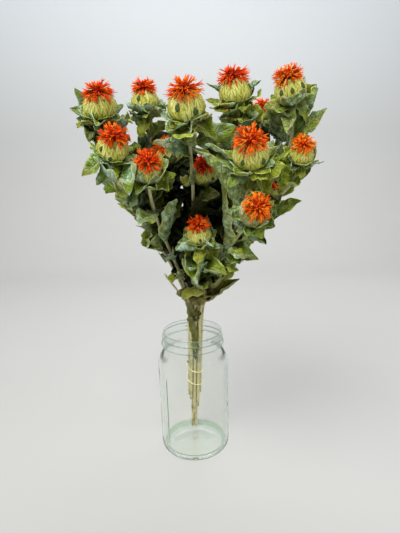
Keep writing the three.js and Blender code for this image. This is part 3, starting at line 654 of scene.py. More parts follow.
# how finely each kind of blade is made: rows along it and columns across it
FRONT_LEAF_GRID = (30, 10)
LEAF_GRID = (26, 8)
BRACT_GRID = (18, 8)
INNER_LEAF_GRID = (16, 6)
CLUMP_LEAF_GRID = (16, 8)
CRUMB_GRID = (10, 6)
LOOSE_BRACT_GRID = (18, 6)
TRIES = 60
FRONT_TRIES = 90
STEEPER_PER_TRY = 0.008
FRONT_LEAF_ARCH = 0.8
SHORT_BRACT_PITCH = -0.5
RIB_THICKNESS = 0.8
EDGE_THICKNESS = 0.35
PRESSED_FLAT_HEIGHT = 205
FRESH_FROM = 290
DEAD_BELOW = 275
CROWN_TOP = 455
BUNCH_HEIGHTS = (177, 250, 300, 350, 400, 450)
BUNCH_REACHES = (14, 26, 48, 72, 100, 118)
BUNCH_MIDDLES = (-26, -48, -62, -72, -80, -84)
CROWN_MIDDLE = 13
CROWN_FRONT = -120
CROWN_DEPTH = 430
CROWN_HEIGHTS = (180, 250, 278, 303, 342, 392, 440)
CROWN_LEFT = (5, 8, 15, 30, 54, 86, 108)
CROWN_RIGHT = (5, 8, 30, 52, 74, 102, 112)
INNER_FROM = 262
INNER_SPACING = 8
INNER_CLEARANCE = 3.5
INNER_TRIES = 16
CLUMP_LEAVES = 26
PRESSED_LEAVES = 14
LOOSE_BRACTS = 5
LOOSE_FOOT_WIDTH = 2.0
LOOSE_CLEARANCE = 1.2
LOOSE_TRIES = 14
seen_heads = (1, 2, 3, 4, 5, 6, 7, 9, 10, 11, 12, 13, 14)
wrapped_heads = (7, 10, 14)
# The stretches of stem that stand free in front: stem, from and to as shares of its length
open_stretches = ((6, 0.25, 0.97), (3, 0.6, 0.95), (7, 0.58, 0.9), (5, 0.75, 0.95))

# stem, curve, share along it, tip, width, roll
front_leaves = [
    (3, 0, 0.93, (-3, -188, 425), 24, 0.2),
    (3, 0, 0.86, (-24, -165, 421), 16, -0.5),
    (7, 0, 0.82, (19, -168, 418), 25, 0.9),
    (7, 0, 0.86, (97, -150, 410), 18, -0.6),
    (5, 1, 0.8, (92, -142, 374), 24, 0.4),
    (5, 0, 0.8, (132, -122, 440), 18, 0.9),
    (7, 0, 0.5, (28, -140, 384), 22, -0.6),
    (5, 2, 0.6, (117, -112, 359), 17, 0.3),
    (7, 0, 0.08, (57, -78, 276), 20, 0.6),
    (1, 0, 0.33, (-41, -105, 335), 18, -0.5),
    (6, 0, 0.12, (-23, -95, 309), 23, -0.7),
    (6, 0, 0, (4, -90, 262), 18, 0.1),
    (1, 0, 0.88, (-92, -138, 444), 17, -0.3),
    (6, 0, 0.62, (-38, -112, 350), 19, 0.5),
    (1, 1, 0.6, (-79, -120, 392), 18, -0.8),
    (5, 0, 0.62, (114, -118, 392), 20, 0.5),
    (12, 0, 0.45, (24, -112, 312), 18, 0.9),
    (6, 0, 0.5, (-35, -110, 343), 26, 0.3),
    (3, 0, 0.3, (2, -104, 304), 24, 0.4),
    (3, 0, 0.6, (29, -132, 377), 27, 0.3),
    (7, 0, 0.5, (61, -122, 332), 24, -0.4),
    (5, 2, 0.08, (80, -112, 317), 22, 0.6),
    (1, 1, 0.2, (-59, -112, 378), 23, 0.6),
    (6, 0, 0.66, (-16, -130, 371), 25, -0.5),
    (2, 1, 0.5, (-17, -132, 394), 22, 0.4),
    (8, 0, 0.75, (15, -122, 365), 23, -0.7),
    (1, 0, 0.34, (-40, -98, 312), 21, -0.6),
    (7, 0, 0.28, (46, -98, 294), 22, -0.2),
]
# The same for smaller blades that grow among them
small_leaves = [
    (1, 0, 0.93, (-97, -128, 471), 18, 0.2),
    (1, 0, 0.9, (-95, -138, 444), 17, -0.7),
    (1, 0, 0.96, (-83, -152, 423), 16, 0.4),
    (1, 0, 0.97, (-69, -158, 425), 13, -0.4),
    (3, 0, 0.97, (3, -176, 419), 20, 0.1),
    (3, 0, 0.95, (-13, -160, 429), 15, -0.7),
    (4, 0, 0.97, (23, -128, 470), 11, 0.5),
    (4, 0, 0.97, (74, -128, 473), 11, -0.6),
    (4, 0, 0.95, (59, -138, 436), 18, 0.2),
    (5, 0, 0.93, (75, -140, 450), 17, -0.4),
    (5, 0, 0.9, (128, -120, 466), 15, 0.8),
    (7, 0, 0.93, (19, -168, 416), 19, 0.5),
    (7, 0, 0.9, (84, -175, 411), 17, -0.6),
    (6, 0, 0.95, (-6, -152, 391), 13, 0.2),
    (6, 0, 0.94, (-56, -150, 395), 12, -0.5),
    (2, 0, 0.94, (-51, -118, 450), 15, 0.5),
    (2, 0, 0.95, (-19, -120, 452), 14, -0.6),
    (1, 0, 0.7, (-84, -130, 395), 16, 0.6),
    (7, 0, 0.62, (44, -160, 397), 18, 0.9),
    (12, 0, 0.9, (-10, -138, 317), 18, 0.4),
    (12, 0, 0.93, (27, -140, 322), 16, -0.4),
]


def sheet_faces(rows, columns):
    """A closed thin sheet: its top, its underside and the rims between them."""
    wide = columns + 1
    count = (rows + 1) * wide
    faces = []
    for left in range(0, rows * wide, wide):
        for a in range(left, left + columns):
            faces.append((a, a + 1, a + 1 + wide, a + wide))
            faces.append((count + a, count + a + wide, count + a + 1 + wide, count + a + 1))
        right = left + columns
        faces.append((left, left + wide, count + left + wide, count + left))
        faces.append((right, count + right, count + right + wide, right + wide))
    for a in range(columns):
        b = a + rows * wide
        faces.append((a, count + a, count + a + 1, a + 1))
        faces.append((b, b + 1, count + b + 1, count + b))
    return faces


def add_sheet(shape, rows, columns, corners, silver=(0, 1), slot=0, **marks):
    """Joins a thin sheet to a piece. A corner holds its top, its underside, and where it is on the sheet."""
    tops, unders, along, aside = zip(*corners)
    shape.add(tops + unders, sheet_faces(rows, columns), slot, along=along * 2, aside=aside * 2,
              under=np.repeat(silver, len(corners)), **marks)


def shares(rows, columns):
    """Where the corners of a sheet are: along it from 0 to 1, and across it from -1 to 1."""
    return [(row / rows, 2 * column / columns - 1)
            for row in range(rows + 1) for column in range(columns + 1)]


class Blade:
    """A leaf or a bract: where it grows, how long and wide it is, and how it bends, turns and folds."""
    fullness = slimness = 0.9
    curl = roll = sway = 0
    marks = {}

    def __init__(self, **shape):
        vars(self).update(shape)

    def but(self, **changes):
        return Blade(**{**vars(self), **changes})

    def pitch_at(self, share):
        return self.pitch + self.bend * share + self.curl * share ** 3

    def midrib(self):
        """Stations along the blade: place, the way across and the way it faces."""
        side = np.cross(self.up, self.out)
        stride = self.length / LEAF_STEPS
        stations = []
        point = self.root
        for step in range(LEAF_STEPS + 1):
            share = step / LEAF_STEPS
            pitch, roll = self.pitch_at(share), self.roll + self.twist * share
            normal = self.up * math.cos(pitch) - self.out * math.sin(pitch)
            stations.append((point + side * self.sway * self.length * share ** 2,
                             side * math.cos(roll) + normal * math.sin(roll),
                             normal * math.cos(roll) - side * math.sin(roll)))
            pitch = self.pitch_at(share + 0.5 / LEAF_STEPS)
            point = point + (self.out * math.cos(pitch) + self.up * math.sin(pitch)) * stride
        return stations


def bract_try(head, index, attempt):
    chance = chances(head.number + 100, index + attempt * 31)
    azimuth = 2 * math.pi * (index + 0.3 * draw(head.number, index, 30)) / head.bracts + head.number
    length = (head.size * chance(1, 0.6, 0.9) + 5) * (1 - 0.02 * attempt)
    spread = min(1, 0.45 * chance(2) + 0.06 * attempt + 0.35 * (index % 2))
    return Blade(
        root=head.stem_end, out=spoke(head.axis, azimuth), up=head.axis, length=length,
        width=length * chance(3, *BRACT_WIDTHS), fullness=0.85, slimness=0.85,
        pitch=between(-0.05, -0.3, spread), bend=between(1.6, 0.1, spread), curl=chance(4, -0.5, 0.5),
        twist=chance(5, -0.5, 0.5), sway=chance(6, -0.15, 0.15), fold=chance(7, 0.1, 0.45),
        phase=6 * chance(8))


def leaf_try(curve, seed_row, index, count, outward, attempt):
    chance = chances(seed_row + 1, index + attempt * 29 + 3)
    share = between(FIRST_LEAF, LAST_LEAF, (index + 0.8 * draw(seed_row, index, 20)) / count)
    height = max(share, 0)
    along = curve.tangent(height)
    turn = min(1, height * 1.8 + 0.25 + 0.02 * attempt) * chance(11, -0.5, 0.5)
    facet = math.floor((outward / (2 * math.pi) + turn) * CURVE_SIDES) + 0.5
    length = between(*LEAF_LENGTHS, share) * chance(1, 0.85, 1.15) * (1 - attempt * 0.01)
    return Blade(
        root=curve.at(height) + along * min(share, 0) * curve.length(),
        out=spoke(along, 2 * math.pi * facet / CURVE_SIDES), up=along, length=length,
        width=length * chance(2, *LEAF_WIDTHS), fullness=chance(9, 0.9, 1.15), slimness=1.2,
        pitch=between(*LEAF_PITCHES, height) + chance(3, -0.3, 0.2) + STEEPER_PER_TRY * attempt,
        bend=chance(4, -1.4, 0.3) * between(0.35, 1, height),
        curl=chance(5, -1.6, 0.6) * between(0.3, 1, height), twist=chance(6, -0.9, 0.9),
        sway=chance(7, -0.25, 0.25), fold=chance(8, 0.05, 0.5), phase=6 * chance(10))


def front_leaf_try(curve, start, tip, width, roll, index, attempt):
    chance = chances(index + 211, attempt * 17 + 5)
    stray = attempt / FRONT_TRIES
    aside = np.array([30 * stray * chance(part, -0.5, 0.5) for part in (1, 2, 3)])
    share = held(start + 0.4 * stray * chance(4, -0.5, 0.5))
    arch = FRONT_LEAF_ARCH * between(1, 2 * chance(8) - 0.4, stray)
    root, along = curve.at(share), curve.tangent(share)
    chord = np.array(tip) + aside - root
    rise = chord.dot(along)
    out = chord - along * rise
    reach = np.linalg.norm(out)
    return Blade(
        root=root, out=out / reach, up=along, length=1.03 * np.linalg.norm(chord),
        width=width * (1 - 0.3 * stray), fullness=0.95, slimness=0.95,
        pitch=math.atan2(rise, reach) + arch / 2, bend=-arch,
        roll=roll + 3 * stray * chance(5, -0.5, 0.5), twist=chance(6, -0.3, 0.3), fold=0.25,
        phase=6 * chance(7))


def painted_shade_depth(point):
    """How much painted shade a blade gets: 0 at the outside of the bunch and 1 deep within it."""
    edge = np.interp(point[2], BUNCH_HEIGHTS, BUNCH_REACHES)
    aside = (point[0] - CROWN_MIDDLE) / edge
    behind = (point[1] - np.interp(point[2], BUNCH_HEIGHTS, BUNCH_MIDDLES)) / (0.8 * edge)
    return held((CROWN_TOP - point[2]) / 60) * held((0.95 - math.hypot(aside, behind)) / 0.28)


def first_fit(count, try_of, fits):
    """The first of several tries that fits, if any does."""
    return next(filter(fits, map(try_of, range(count))), None)


def grow_blade(plant, leaf, grid, seed, narrow=0.0):
    """A blade with its toothed, waved and crumpled surface, thick along the rib and thin at the margin."""
    rows, columns = grid
    chance = chances(seed)
    stations = leaf.midrib()
    middle = stations[LEAF_STEPS // 2][0]
    pressed = min(1, max(0.35, (middle[2] - PRESSED_FLAT_HEIGHT) / 60))
    curl_in = chance(3, -0.6, 0.9)
    tip_curl = chance(7, -0.5, 0.5) * leaf.length
    teeth = 5 + int(5 * chance(4))
    shift = Vector((seed % 17, 0, 0))
    corners = []
    for row in range(rows + 1):
        share = 0.02 + 0.98 * (row / rows) ** 0.9
        low = min(int(share * LEAF_STEPS), LEAF_STEPS - 1)
        part = share * LEAF_STEPS - low
        at, across, face = (between(a, b, part) for a, b in zip(stations[low], stations[low + 1]))
        across, face = unit(across), unit(face)
        swell = max(0, math.sin(math.pi * share ** leaf.fullness)) ** (0.8 * leaf.slimness)
        half = ROOT_HALF_WIDTH * (1 - share) + leaf.width / 2 * swell * pressed
        half = max(half, narrow * (1 - 3 * share))
        tooth = 1 + 0.07 * ((share * teeth) % 1) * min(1, 4 * swell) * min(1, 6 * (1 - share))
        at = at + face * tip_curl * max(0, share - 0.6) ** 2
        for column in range(columns + 1):
            v = 2 * column / columns - 1
            sign, off = (1 if v > 0 else -1), abs(v)
            ragged = 1 + RAGGED_EDGE * math.sin(leaf.phase * 3 + sign * 2 + share * 11)
            lift = half * (leaf.fold + WAVED_EDGE * math.sin(leaf.phase + sign + share * 8))
            ripple = half * 0.14 * math.sin(share * 27 + leaf.phase * 5 + sign) * off ** 2
            rolled = max(0, off - 0.5) / 0.5
            height = lift * off ** 1.5 + ripple + half * curl_in * rolled ** 2
            reach = v * half * ragged * (tooth if off > 0.9 else 1) * (1 - 0.2 * abs(curl_in) * rolled)
            place = at + across * reach
            crumple = (noise.noise(Vector(place) * 0.14 + shift) * 2.2
                       + noise.noise(Vector(place) * 0.4 + shift))
            place = place + face * (height + crumple * min(1, half / 6) * min(1, 6 * share))
            thick = between(EDGE_THICKNESS, RIB_THICKNESS, max(0, 1 - off) ** 2) * min(1, 0.25 + half / 3)
            if off > 0.99 or row == rows:
                thick *= 0.5
            corners.append((place + face * thick / 2, place - face * thick / 2, share, v))
    marks = {"tone": chance(5), "hue": chance(6), "inside": painted_shade_depth(middle),
             "dead": min(0.9, max(0, DEAD_BELOW - middle[2]) / 15), **leaf.marks}
    fresh = 1 - 0.85 * held((FRESH_FROM - middle[2]) / 30)
    marks.update(tone=marks["tone"] * fresh, hue=marks["hue"] * fresh)
    add_sheet(plant, rows, columns, corners, slot=1, **marks)


for plant in plants:
    for head in plant.heads:
        foot_width = BRACT_FOOT_WIDTH * head.size * math.sin(math.pi / head.bracts)
        for index in range(head.bracts):
            leaf = first_fit(TRIES, lambda attempt: bract_try(head, index, attempt), plant.carries)
            if not leaf:
                leaf = bract_try(head, index, TRIES).but(
                    length=head.size / 2, pitch=SHORT_BRACT_PITCH, bend=0, curl=0, twist=0, fold=0)
            grow_blade(plant, leaf, BRACT_GRID, 1000 + 20 * head.number + index, foot_width)
for index, (stem, order, *where) in enumerate(front_leaves):
    plant = plants[stem - 1]
    leaf = first_fit(FRONT_TRIES, lambda attempt: front_leaf_try(
        plant.curves[order], *where, index, attempt), plant.carries)
    if leaf:
        grow_blade(plant, leaf, FRONT_LEAF_GRID, 300 + index)
for plant in plants:
    column, row = plant.slot
    outward = math.atan2((row - 1 / 3) * math.sqrt(3), 2 * column + row - 1)
    for order, curve in enumerate(plant.curves):
        count = LEAVES_ON_BRANCH if order else plant.leaves
        for index in range(count):
            leaf = first_fit(TRIES, lambda attempt: leaf_try(
                curve, plant.index + order * 12, index, count, outward, attempt), plant.carries)
            if leaf:
                grow_blade(plant, leaf, LEAF_GRID, 500 + 40 * plant.index + 12 * order + index)

flower_solids = [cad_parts[f"{kind}_{number:02d}"].data for number in heads for kind in ("cup", "tuft")]
flower_trees = [BVHTree.FromPolygons([vertex.co for vertex in solid.vertices],
                                     [tuple(face.vertices) for face in solid.polygons])
                for solid in flower_solids]
open_points = [plants[stem - 1].curves[0].at(share)
               for stem, low, high in open_stretches for share in np.linspace(low, high, 14)]
low_plant = plants[5]
open_points += [between(np.array(low_plant.twig), BUNDLE_RIM, share) for share in (0, 0.2, 0.4)]


def near_a_flower(point, clearance):
    return any(tree.find_nearest(Vector(point * MM), clearance * MM)[0] for tree in flower_trees)


def in_crown(point):
    across = (point[0] - CROWN_MIDDLE) / (1 + (point[1] - CROWN_FRONT) / CROWN_DEPTH)
    edge = np.interp(point[2], CROWN_HEIGHTS, CROWN_LEFT if across < 0 else CROWN_RIGHT)
    return abs(across) < edge and INNER_FROM <= point[2] < CROWN_TOP


def hides_a_head(point):
    for number in seen_heads:
        head = flower_heads[number]
        aside, behind, above = point - head.middle
        if behind < 4 and abs(aside) < 0.62 * head.size and -0.42 * head.size < above < 1.1 * head.size:
            return True
    return False


def hides_a_stem(point):
    return any(point[1] < place[1] + 3 and math.hypot(point[0] - place[0], point[2] - place[2]) < 10
               for place in open_points)


def has_room(leaf):
    places = [place for place, _, _ in leaf.midrib()[6::3]]
    return (all(in_crown(place) and not hides_a_head(place) and not hides_a_stem(place) for place in places)
            and not any(near_a_flower(place, INNER_CLEARANCE) for place in places))


def inner_leaf(curve, share, number, attempt):
    chance = chances(number, attempt=attempt)
    along = curve.tangent(share)
    length = chance(2, 30, 46) * (1 - 0.02 * attempt)
    return Blade(
        root=curve.at(share), out=spoke(along, 2 * math.pi * chance(1)), up=along, length=length,
        width=length * chance(3, 0.45, 0.65), fullness=0.95, slimness=1.0, pitch=chance(4, 0.3, 1.35),
        bend=chance(5, -1.6, 0.4), curl=chance(6, -1.4, 0.6), twist=chance(7, -1.3, 1.3),
        sway=chance(8, -0.25, 0.25), fold=chance(9, 0.1, 0.55), phase=6 * chance(10))


for plant in plants:
    for order, curve in enumerate(plant.curves):
        count = int(curve.length() / INNER_SPACING)
        for index in range(count):
            seed = 2000 + 100 * plant.index + 30 * order + index
            share = 0.93 * (index + draw(seed, 31)) / count
            leaf = first_fit(INNER_TRIES, lambda attempt: inner_leaf(curve, share, seed, attempt), has_room)
            if leaf:
                grow_blade(plant, leaf, INNER_LEAF_GRID, seed)
for index, (stem, order, *where) in enumerate(small_leaves):
    plant = plants[stem - 1]
    leaf = front_leaf_try(plant.curves[order], *where, index + 40, 0)
    # The first stem's small blades get a fixed share of painted shade.
    if stem == 1:
        leaf.marks = {"tone": 0.2, "hue": 0.7, "inside": 0.55}
    grow_blade(plant, leaf, LEAF_GRID, 400 + index)


def clump_leaf(index):
    """A leaf low on the sheaf: pressed along it, or curled into the knot where the crown begins."""
    chance = chances(6000 + index)
    if index < PRESSED_LEAVES:
        turn, length, off = chance(1, -0.6, 0.6), chance(2, 18, 28), 8.2
        at = between(172, 222, (index + 0.5) / PRESSED_LEAVES)
        pitch, bend = 1.5 if index % 3 else -1.5, chance(5, -0.1, 0.2)
    else:
        turn, length, off = chance(1, -0.95, 0.95), chance(2, 11, 16), 7.5
        at = chance(10, 206, 228)
        pitch, bend = chance(4, -0.2, 0.9), chance(5, 1.2, 2.4)
    out = spoke(bundle_axis, turn - math.pi / 2)
    return Blade(
        root=bundle_point((0, 0), at) + out * off, out=out, up=bundle_axis, length=length,
        width=length * chance(3, 0.4, 0.6), pitch=pitch, bend=bend, roll=chance(6, -0.3, 0.3),
        twist=chance(7, -0.4, 0.4), sway=chance(8, -0.2, 0.2), fold=0.3, phase=6 * chance(9),
        marks={"tone": 0.5 * chance(11), "hue": 0.4 * chance(12), "dead": 0.2 + 0.7 * chance(13)})


for index in range(CLUMP_LEAVES):
    leaf = clump_leaf(index)
    grow_blade(low_plant, leaf, CLUMP_LEAF_GRID, 6000 + index)
for distance, turn, seed in ((166, 0.6, 6101), (138, -0.9, 6102), (174, -0.2, 6103)):
    out = spoke(bundle_axis, turn - math.pi / 2)
    crumb = leaf.but(root=bundle_point((0, 0), distance) + out * 8.6, out=out, length=8, width=6,
                     pitch=0.6, phase=seed)
    grow_blade(low_plant, crumb, CRUMB_GRID, seed)


def loose_bract(head, index, attempt):
    chance = chances(7000 + 50 * head.number + index, attempt=attempt)
    length = head.size * chance(2, 0.75, 1.15)
    bract = Blade(
        root=head.stem_end, out=spoke(head.axis, 2 * math.pi * (index + chance(1)) / LOOSE_BRACTS),
        up=head.axis, length=length, width=length * chance(3, 0.45, 0.6), pitch=chance(4, -1.0, 0.0),
        bend=chance(5, -1.3, 1.6), curl=chance(6, -1.2, 1.2), twist=chance(7, -0.8, 0.8),
        sway=chance(8, -0.3, 0.3), fold=chance(9, 0.1, 0.5), phase=6 * chance(10))
    return bract.but(pitch=0.05, bend=1.8, curl=0) if head.number in wrapped_heads else bract


def stands_clear(head, bract):
    places = [place for place, _, _ in bract.midrib()[8::4]]
    return (not any(near_a_flower(place, LOOSE_CLEARANCE) for place in places)
            and (head.number in wrapped_heads or not any(hides_a_head(place) for place in places)))


for plant in plants:
    for head in plant.heads:
        for index in range(LOOSE_BRACTS):
            bract = first_fit(LOOSE_TRIES, lambda attempt: loose_bract(head, index, attempt),
                              lambda bract: stands_clear(head, bract))
            if bract:
                grow_blade(plant, bract, LOOSE_BRACT_GRID, 7000 + 50 * head.number + index, LOOSE_FOOT_WIDTH)


def leathery(s):
    place, hue, under, along = s.place(), s.mark("hue"), s.mark("under"), s.mark("along")
    off = abs(s.mark("aside"))
    blotch = s.speckle(place, 170.0, 4.0, Roughness=0.65)
    grain = s.speckle(place, 600.0, 3.0)
    rib = 1 - off.limited(0.02, 0.09)
    branch = (along * 11 - off * 2.6).fraction()
    vein = (1 - abs(branch - 0.5).limited(0.0, 0.14)) * (1 - off.limited(0.75, 1.0))
    top = hue.blend((0.32, 0.36, 0.008), (0.13, 0.29, 0.016))
    top = s.mark("tone").limited(0.5, 1.0).blend(top, (0.37, 0.45, 0.028))
    below = hue.blend((0.58, 0.72, 0.36), (0.50, 0.80, 0.70))
    silver = s.speckle(place, 70.0, 1.0).limited(0.43, 0.56)
    colour = (under * (silver * 0.7 + 0.3)).blend(top, below)
    for mask, tint in (
            # Partly the leaf's own silvery bloom, partly painted bluish sheen on the top face.
            (silver * hue.limited(0.45, 0.9) * 0.7, (0.52, 0.74, 0.60)),
            (blotch.limited(0.42, 0.6) * 0.8, (0.058, 0.085, 0.002)),
            (s.speckle(place, 45.0, 2.0).limited(0.56, 0.68) * 0.5, (0.30, 0.16, 0.015)),
            (grain.limited(0.45, 0.8) * 0.35, (0.50, 0.62, 0.13)),
            (vein * 0.5, (0.62, 0.72, 0.30)),
            # Painted highlight: a pale cream line along the blade's margin, as if lit at its rim.
            (off.limited(0.9, 1.0) * 0.6, (0.70, 0.72, 0.28)),
            (rib * 0.8, (0.78, 0.76, 0.40)),
            (s.mark("dead") * 0.9, blotch.limited(0.4, 0.62).blend((0.12, 0.105, 0.02), (0.30, 0.26, 0.08))),
            # Painted shade: blades deep in the bunch turn near black, as if in its shadow.
            (s.mark("inside") * 0.96, (0.007, 0.009, 0.001))):
        colour = mask.blend(colour, tint)
    bump = s.relief(rib * 1.2 + vein + blotch * 2.4 + grain * 0.5, 1.0, 0.0012)
    return s.surface(colour, grain * 0.25 + 0.34, bump, Specular_IOR_Level=0.08)


leather_finish = finish_of("leathery_leaf", leathery)
for plant in plants:
    plant.made(f"plant_{plant.index + 1:02d}", "leafy_stem", [straw_finish, leather_finish], plant.node)


# Crumpled leaf. A dead brown leaf is squeezed into a ball where the sheaf narrows, stuck among the lowest
# leaves.
BALL_AT = np.array((10, -80, 254))
BALL_HALVES = np.array((12.5, 14, 11))
BALL_ROWS = 30
BALL_COLUMNS = 44


def dead_leaf(s):
    place = s.place()
    blotch = s.speckle(place, 190.0, 4.0, Roughness=0.6)
    grain = s.speckle(place, 700.0, 3.0)
    colour = blotch.limited(0.35, 0.65).blend((0.13, 0.115, 0.02), (0.33, 0.29, 0.09))
    colour = (grain.limited(0.5, 0.8) * 0.5).blend(colour, (0.45, 0.38, 0.16))
    # Painted shade: the ball's creases turn near black.
    colour = (s.mark("deep") * 0.9).blend(colour, (0.02, 0.018, 0.003))
    bump = s.relief(blotch * 2 + grain, 0.9, 0.001)
    return s.surface(colour, grain * 0.2 + 0.6, bump, Specular_IOR_Level=0.1)


points, crease_shade = [], []
for polar in np.linspace(0.98 * math.pi, 0.02 * math.pi, BALL_ROWS + 1):
    for column in range(BALL_COLUMNS):
        angle = 2 * math.pi * column / BALL_COLUMNS
        way = Vector((math.sin(polar) * math.cos(angle), math.sin(polar) * math.sin(angle), math.cos(polar)))
        crease = max(0, 1 - abs(noise.noise(way * 2.2 + Vector((5, 0, 0)))) * 3.2) ** 2
        swell = 1 + 0.3 * noise.noise(way * 1.6) - 0.28 * crease + 0.07 * noise.noise(way * 6)
        points.append(BALL_AT + BALL_HALVES * way * swell)
        crease_shade.append(crease)
ball = Shape("deep")
ball.add(points, tube_faces(BALL_ROWS + 1, BALL_COLUMNS), deep=crease_shade)
ball.made("crumpled_leaf", "leafy_stem", [finish_of("dead_brown_leaf", dead_leaf)])


# Tie. A thin two-ply string of natural fibre, wound just under twice round the sheaf inside the jar. Its
# two plies are laid round each other.
TIE_RADIUS = 0.9
TIE_TOP = 132
TIE_PITCH = 24
TIE_TURNS = 1.75
TIE_STEPS = 260
GAP = 0.35
PLY_RADIUS = 0.46
PLY_OFFSET = 0.3
PLY_LAY = 5.0
PLY_SIDES = 7

across, back = crossing(bundle_axis)
tie_reach = STEM_SPACING * math.sqrt(7 / 3) + STEM_RADIUS + GAP + TIE_RADIUS
string = Shape()
for ply in range(2):
    points = []
    for step in range(TIE_STEPS + 1):
        turns = step / TIE_STEPS * TIE_TURNS
        angle = 2 * math.pi * turns + math.pi * 0.9
        out = across * math.cos(angle) + back * math.sin(angle)
        high = np.cross(unit(across * -math.sin(angle) + back * math.cos(angle)), out)
        twist = turns * 2 * math.pi * tie_reach / PLY_LAY + ply * math.pi
        centre = (BUNDLE_FOOT + bundle_axis * (TIE_TOP - TIE_PITCH * turns)
                  + out * (tie_reach + PLY_OFFSET * math.cos(twist)) + high * PLY_OFFSET * math.sin(twist))
        for side in range(PLY_SIDES):
            turn = 2 * math.pi * side / PLY_SIDES
            points.append(centre + out * PLY_RADIUS * math.cos(turn) + high * PLY_RADIUS * math.sin(turn))
    string.add(points, [face[::-1] for face in tube_faces(TIE_STEPS + 1, PLY_SIDES)])


def natural_fibre(s):
    fibre = s.speckle(s.place(), 1500.0, 3.0, Distortion=1.0)
    colour = fibre.blend((0.60, 0.52, 0.24), (0.88, 0.82, 0.55))
    return s.surface(colour, fibre * 0.2 + 0.7, s.relief(fibre, 0.6, 0.0003), Sheen_Weight=0.3)


string.made("string_tie", "tie", [finish_of("natural_fibre", natural_fibre)], "tie")


# Flower cups. Each head sits in a pale cup of stiff, closely overlapping bracts, pleated from its base to
# its narrow mouth. Some of them end in a small dark green leafy spot.
CUP_OUTLINE = ((0.15, 0), (0.4, 0.15), (0.5, 0.43), (0.43, 0.77), (0.27, 1))
CUP_FIT = 0.91
CORE_ROWS = 14
CORE_SIDES = 24
CUP_TIPS = (0.56, 0.74, 0.9, 1.02)
SCALE_ROWS = 8
SCALE_COLUMNS = 6
SMALL_HEAD = 18
SPOT_ROWS = 6
SPOT_COLUMNS = 4
# Dark leafy spots on the side that faces the front: angle to the right, height up the cup and size
leafy_spots = {
    1: ((2.6, 0.5, 1),), 2: ((-0.4, 0.68, 1), (2.4, 0.4, 1)), 3: ((-0.5, 0.7, 1.1), (0.5, 0.5, 1.2)),
    4: ((1.1, 0.6, 0.8), (2.9, 0.4, 1)), 5: ((-0.8, 0.6, 1), (-0.1, 0.62, 0.9), (0.75, 0.66, 1)),
    6: ((-0.6, 0.66, 0.8), (0.15, 0.4, 1)), 9: ((-0.6, 0.55, 0.9), (0.6, 0.5, 1.1)), 11: ((0.6, 0.55, 0.8),),
    13: ((0.1, 0.5, 0.8), (2.8, 0.5, 1)),
}
HIDDEN_SPOTS = ((3.1, 0.5, 1), (2.2, 0.4, 0.9))


def cup_radius(height):
    """The cup's radius as a fraction of the head's size, at a fraction of its height."""
    widths, places = zip(*CUP_OUTLINE)
    low = max(0, min(len(places) - 2, int(np.searchsorted(places, height)) - 1))
    before, after = max(0, low - 1), min(len(places) - 1, low + 2)
    step = places[low + 1] - places[low]
    part = (height - places[low]) / step
    slope_a = (widths[low + 1] - widths[before]) / (places[low + 1] - places[before]) * step
    slope_b = (widths[after] - widths[low]) / (places[after] - places[low]) * step
    square, cube = part ** 2, part ** 3
    return ((2 * cube - 3 * square + 1) * widths[low] + (cube - 2 * square + part) * slope_a
            + (3 * square - 2 * cube) * widths[low + 1] + (cube - square) * slope_b)


def on_cup(head, angle, height, proud):
    wide = head.size * cup_radius(held(height)) * CUP_FIT + proud
    return head.base + head.axis * head.rise * height + spoke(head.axis, angle) * wide


def dry_bract(s):
    tone, along, aside = s.mark("tone"), s.mark("along"), s.mark("aside")
    place = s.place()
    grain = s.speckle(place, 500.0, 4.0)
    line = abs((aside * 3.2 + tone * 7 + grain * 0.7).fraction() - 0.5) * 2
    fold = (aside * 1.5 + tone * 5 + s.speckle(place, 120.0, 2.0) * 1.2).fraction()
    fold = (abs(fold - 0.5) * 2).limited(0.55, 0.95)
    colour = tone.blend((0.46, 0.475, 0.06), (0.70, 0.71, 0.24))
    for mask, tint in (
            (line.limited(0.45, 1.0) * 0.4, (0.24, 0.23, 0.012)),
            # Painted shade: the pleat folds darken into dark lines.
            (fold * 0.7, (0.15, 0.15, 0.006)),
            # Painted shade along each bract's margin, where it overlaps the next one.
            (abs(aside).limited(0.8, 1.0) * 0.75, (0.15, 0.12, 0.012)),
            # Painted shade: each bract turns darker and greener towards its foot.
            (1 - along.limited(0.0, 0.35), (0.32, 0.34, 0.06)),
            (along.limited(0.85, 1.0) * 0.7, (0.62, 0.52, 0.22)),
            (s.mark("spot"), grain.blend((0.03, 0.05, 0.012), (0.09, 0.12, 0.04)))):
        colour = mask.blend(colour, tint)
    bump = s.relief(line + grain * 0.6 - fold * 2, 0.6, 0.0004)
    return s.surface(colour, grain * 0.2 + 0.5, bump, Specular_IOR_Level=0.15)


def add_scale(cup, head, row, index, count):
    """One stiff bract of the cup, pleated, and proud of the row above it."""
    seed = head.number * 97 + row * 13 + index
    chance = chances(seed)
    middle = 2 * math.pi * (index + 0.5 * row + 0.3 * chance(50, -0.5, 0.5)) / count
    foot = 0.02 + 0.02 * row
    tip = CUP_TIPS[row] + 0.08 * chance(51, -0.5, 0.5)
    layer = 0.28 * (len(CUP_TIPS) - row)
    corners = []
    for share, v in shares(SCALE_ROWS, SCALE_COLUMNS):
        height = between(foot, tip, share)
        narrow = math.pi / count * 1.25 * (1 - share ** 4) * (0.8 + 0.2 * math.sin(math.pi * share))
        pleat = 0.4 * math.cos(v * 9 + seed) * math.sin(math.pi * min(1, share * 1.1))
        proud = layer + 0.55 * (1 - v * v) + pleat + 1.6 * max(0, share - 0.75) * chance(53)
        angle = middle + v * narrow + 0.1 * chance(57, -0.5, 0.5) * share
        corners.append((on_cup(head, angle, height, proud + 0.15), on_cup(head, angle, height, proud - 0.3),
                        share, v))
    add_sheet(cup, SCALE_ROWS, SCALE_COLUMNS, corners, tone=chance(54))


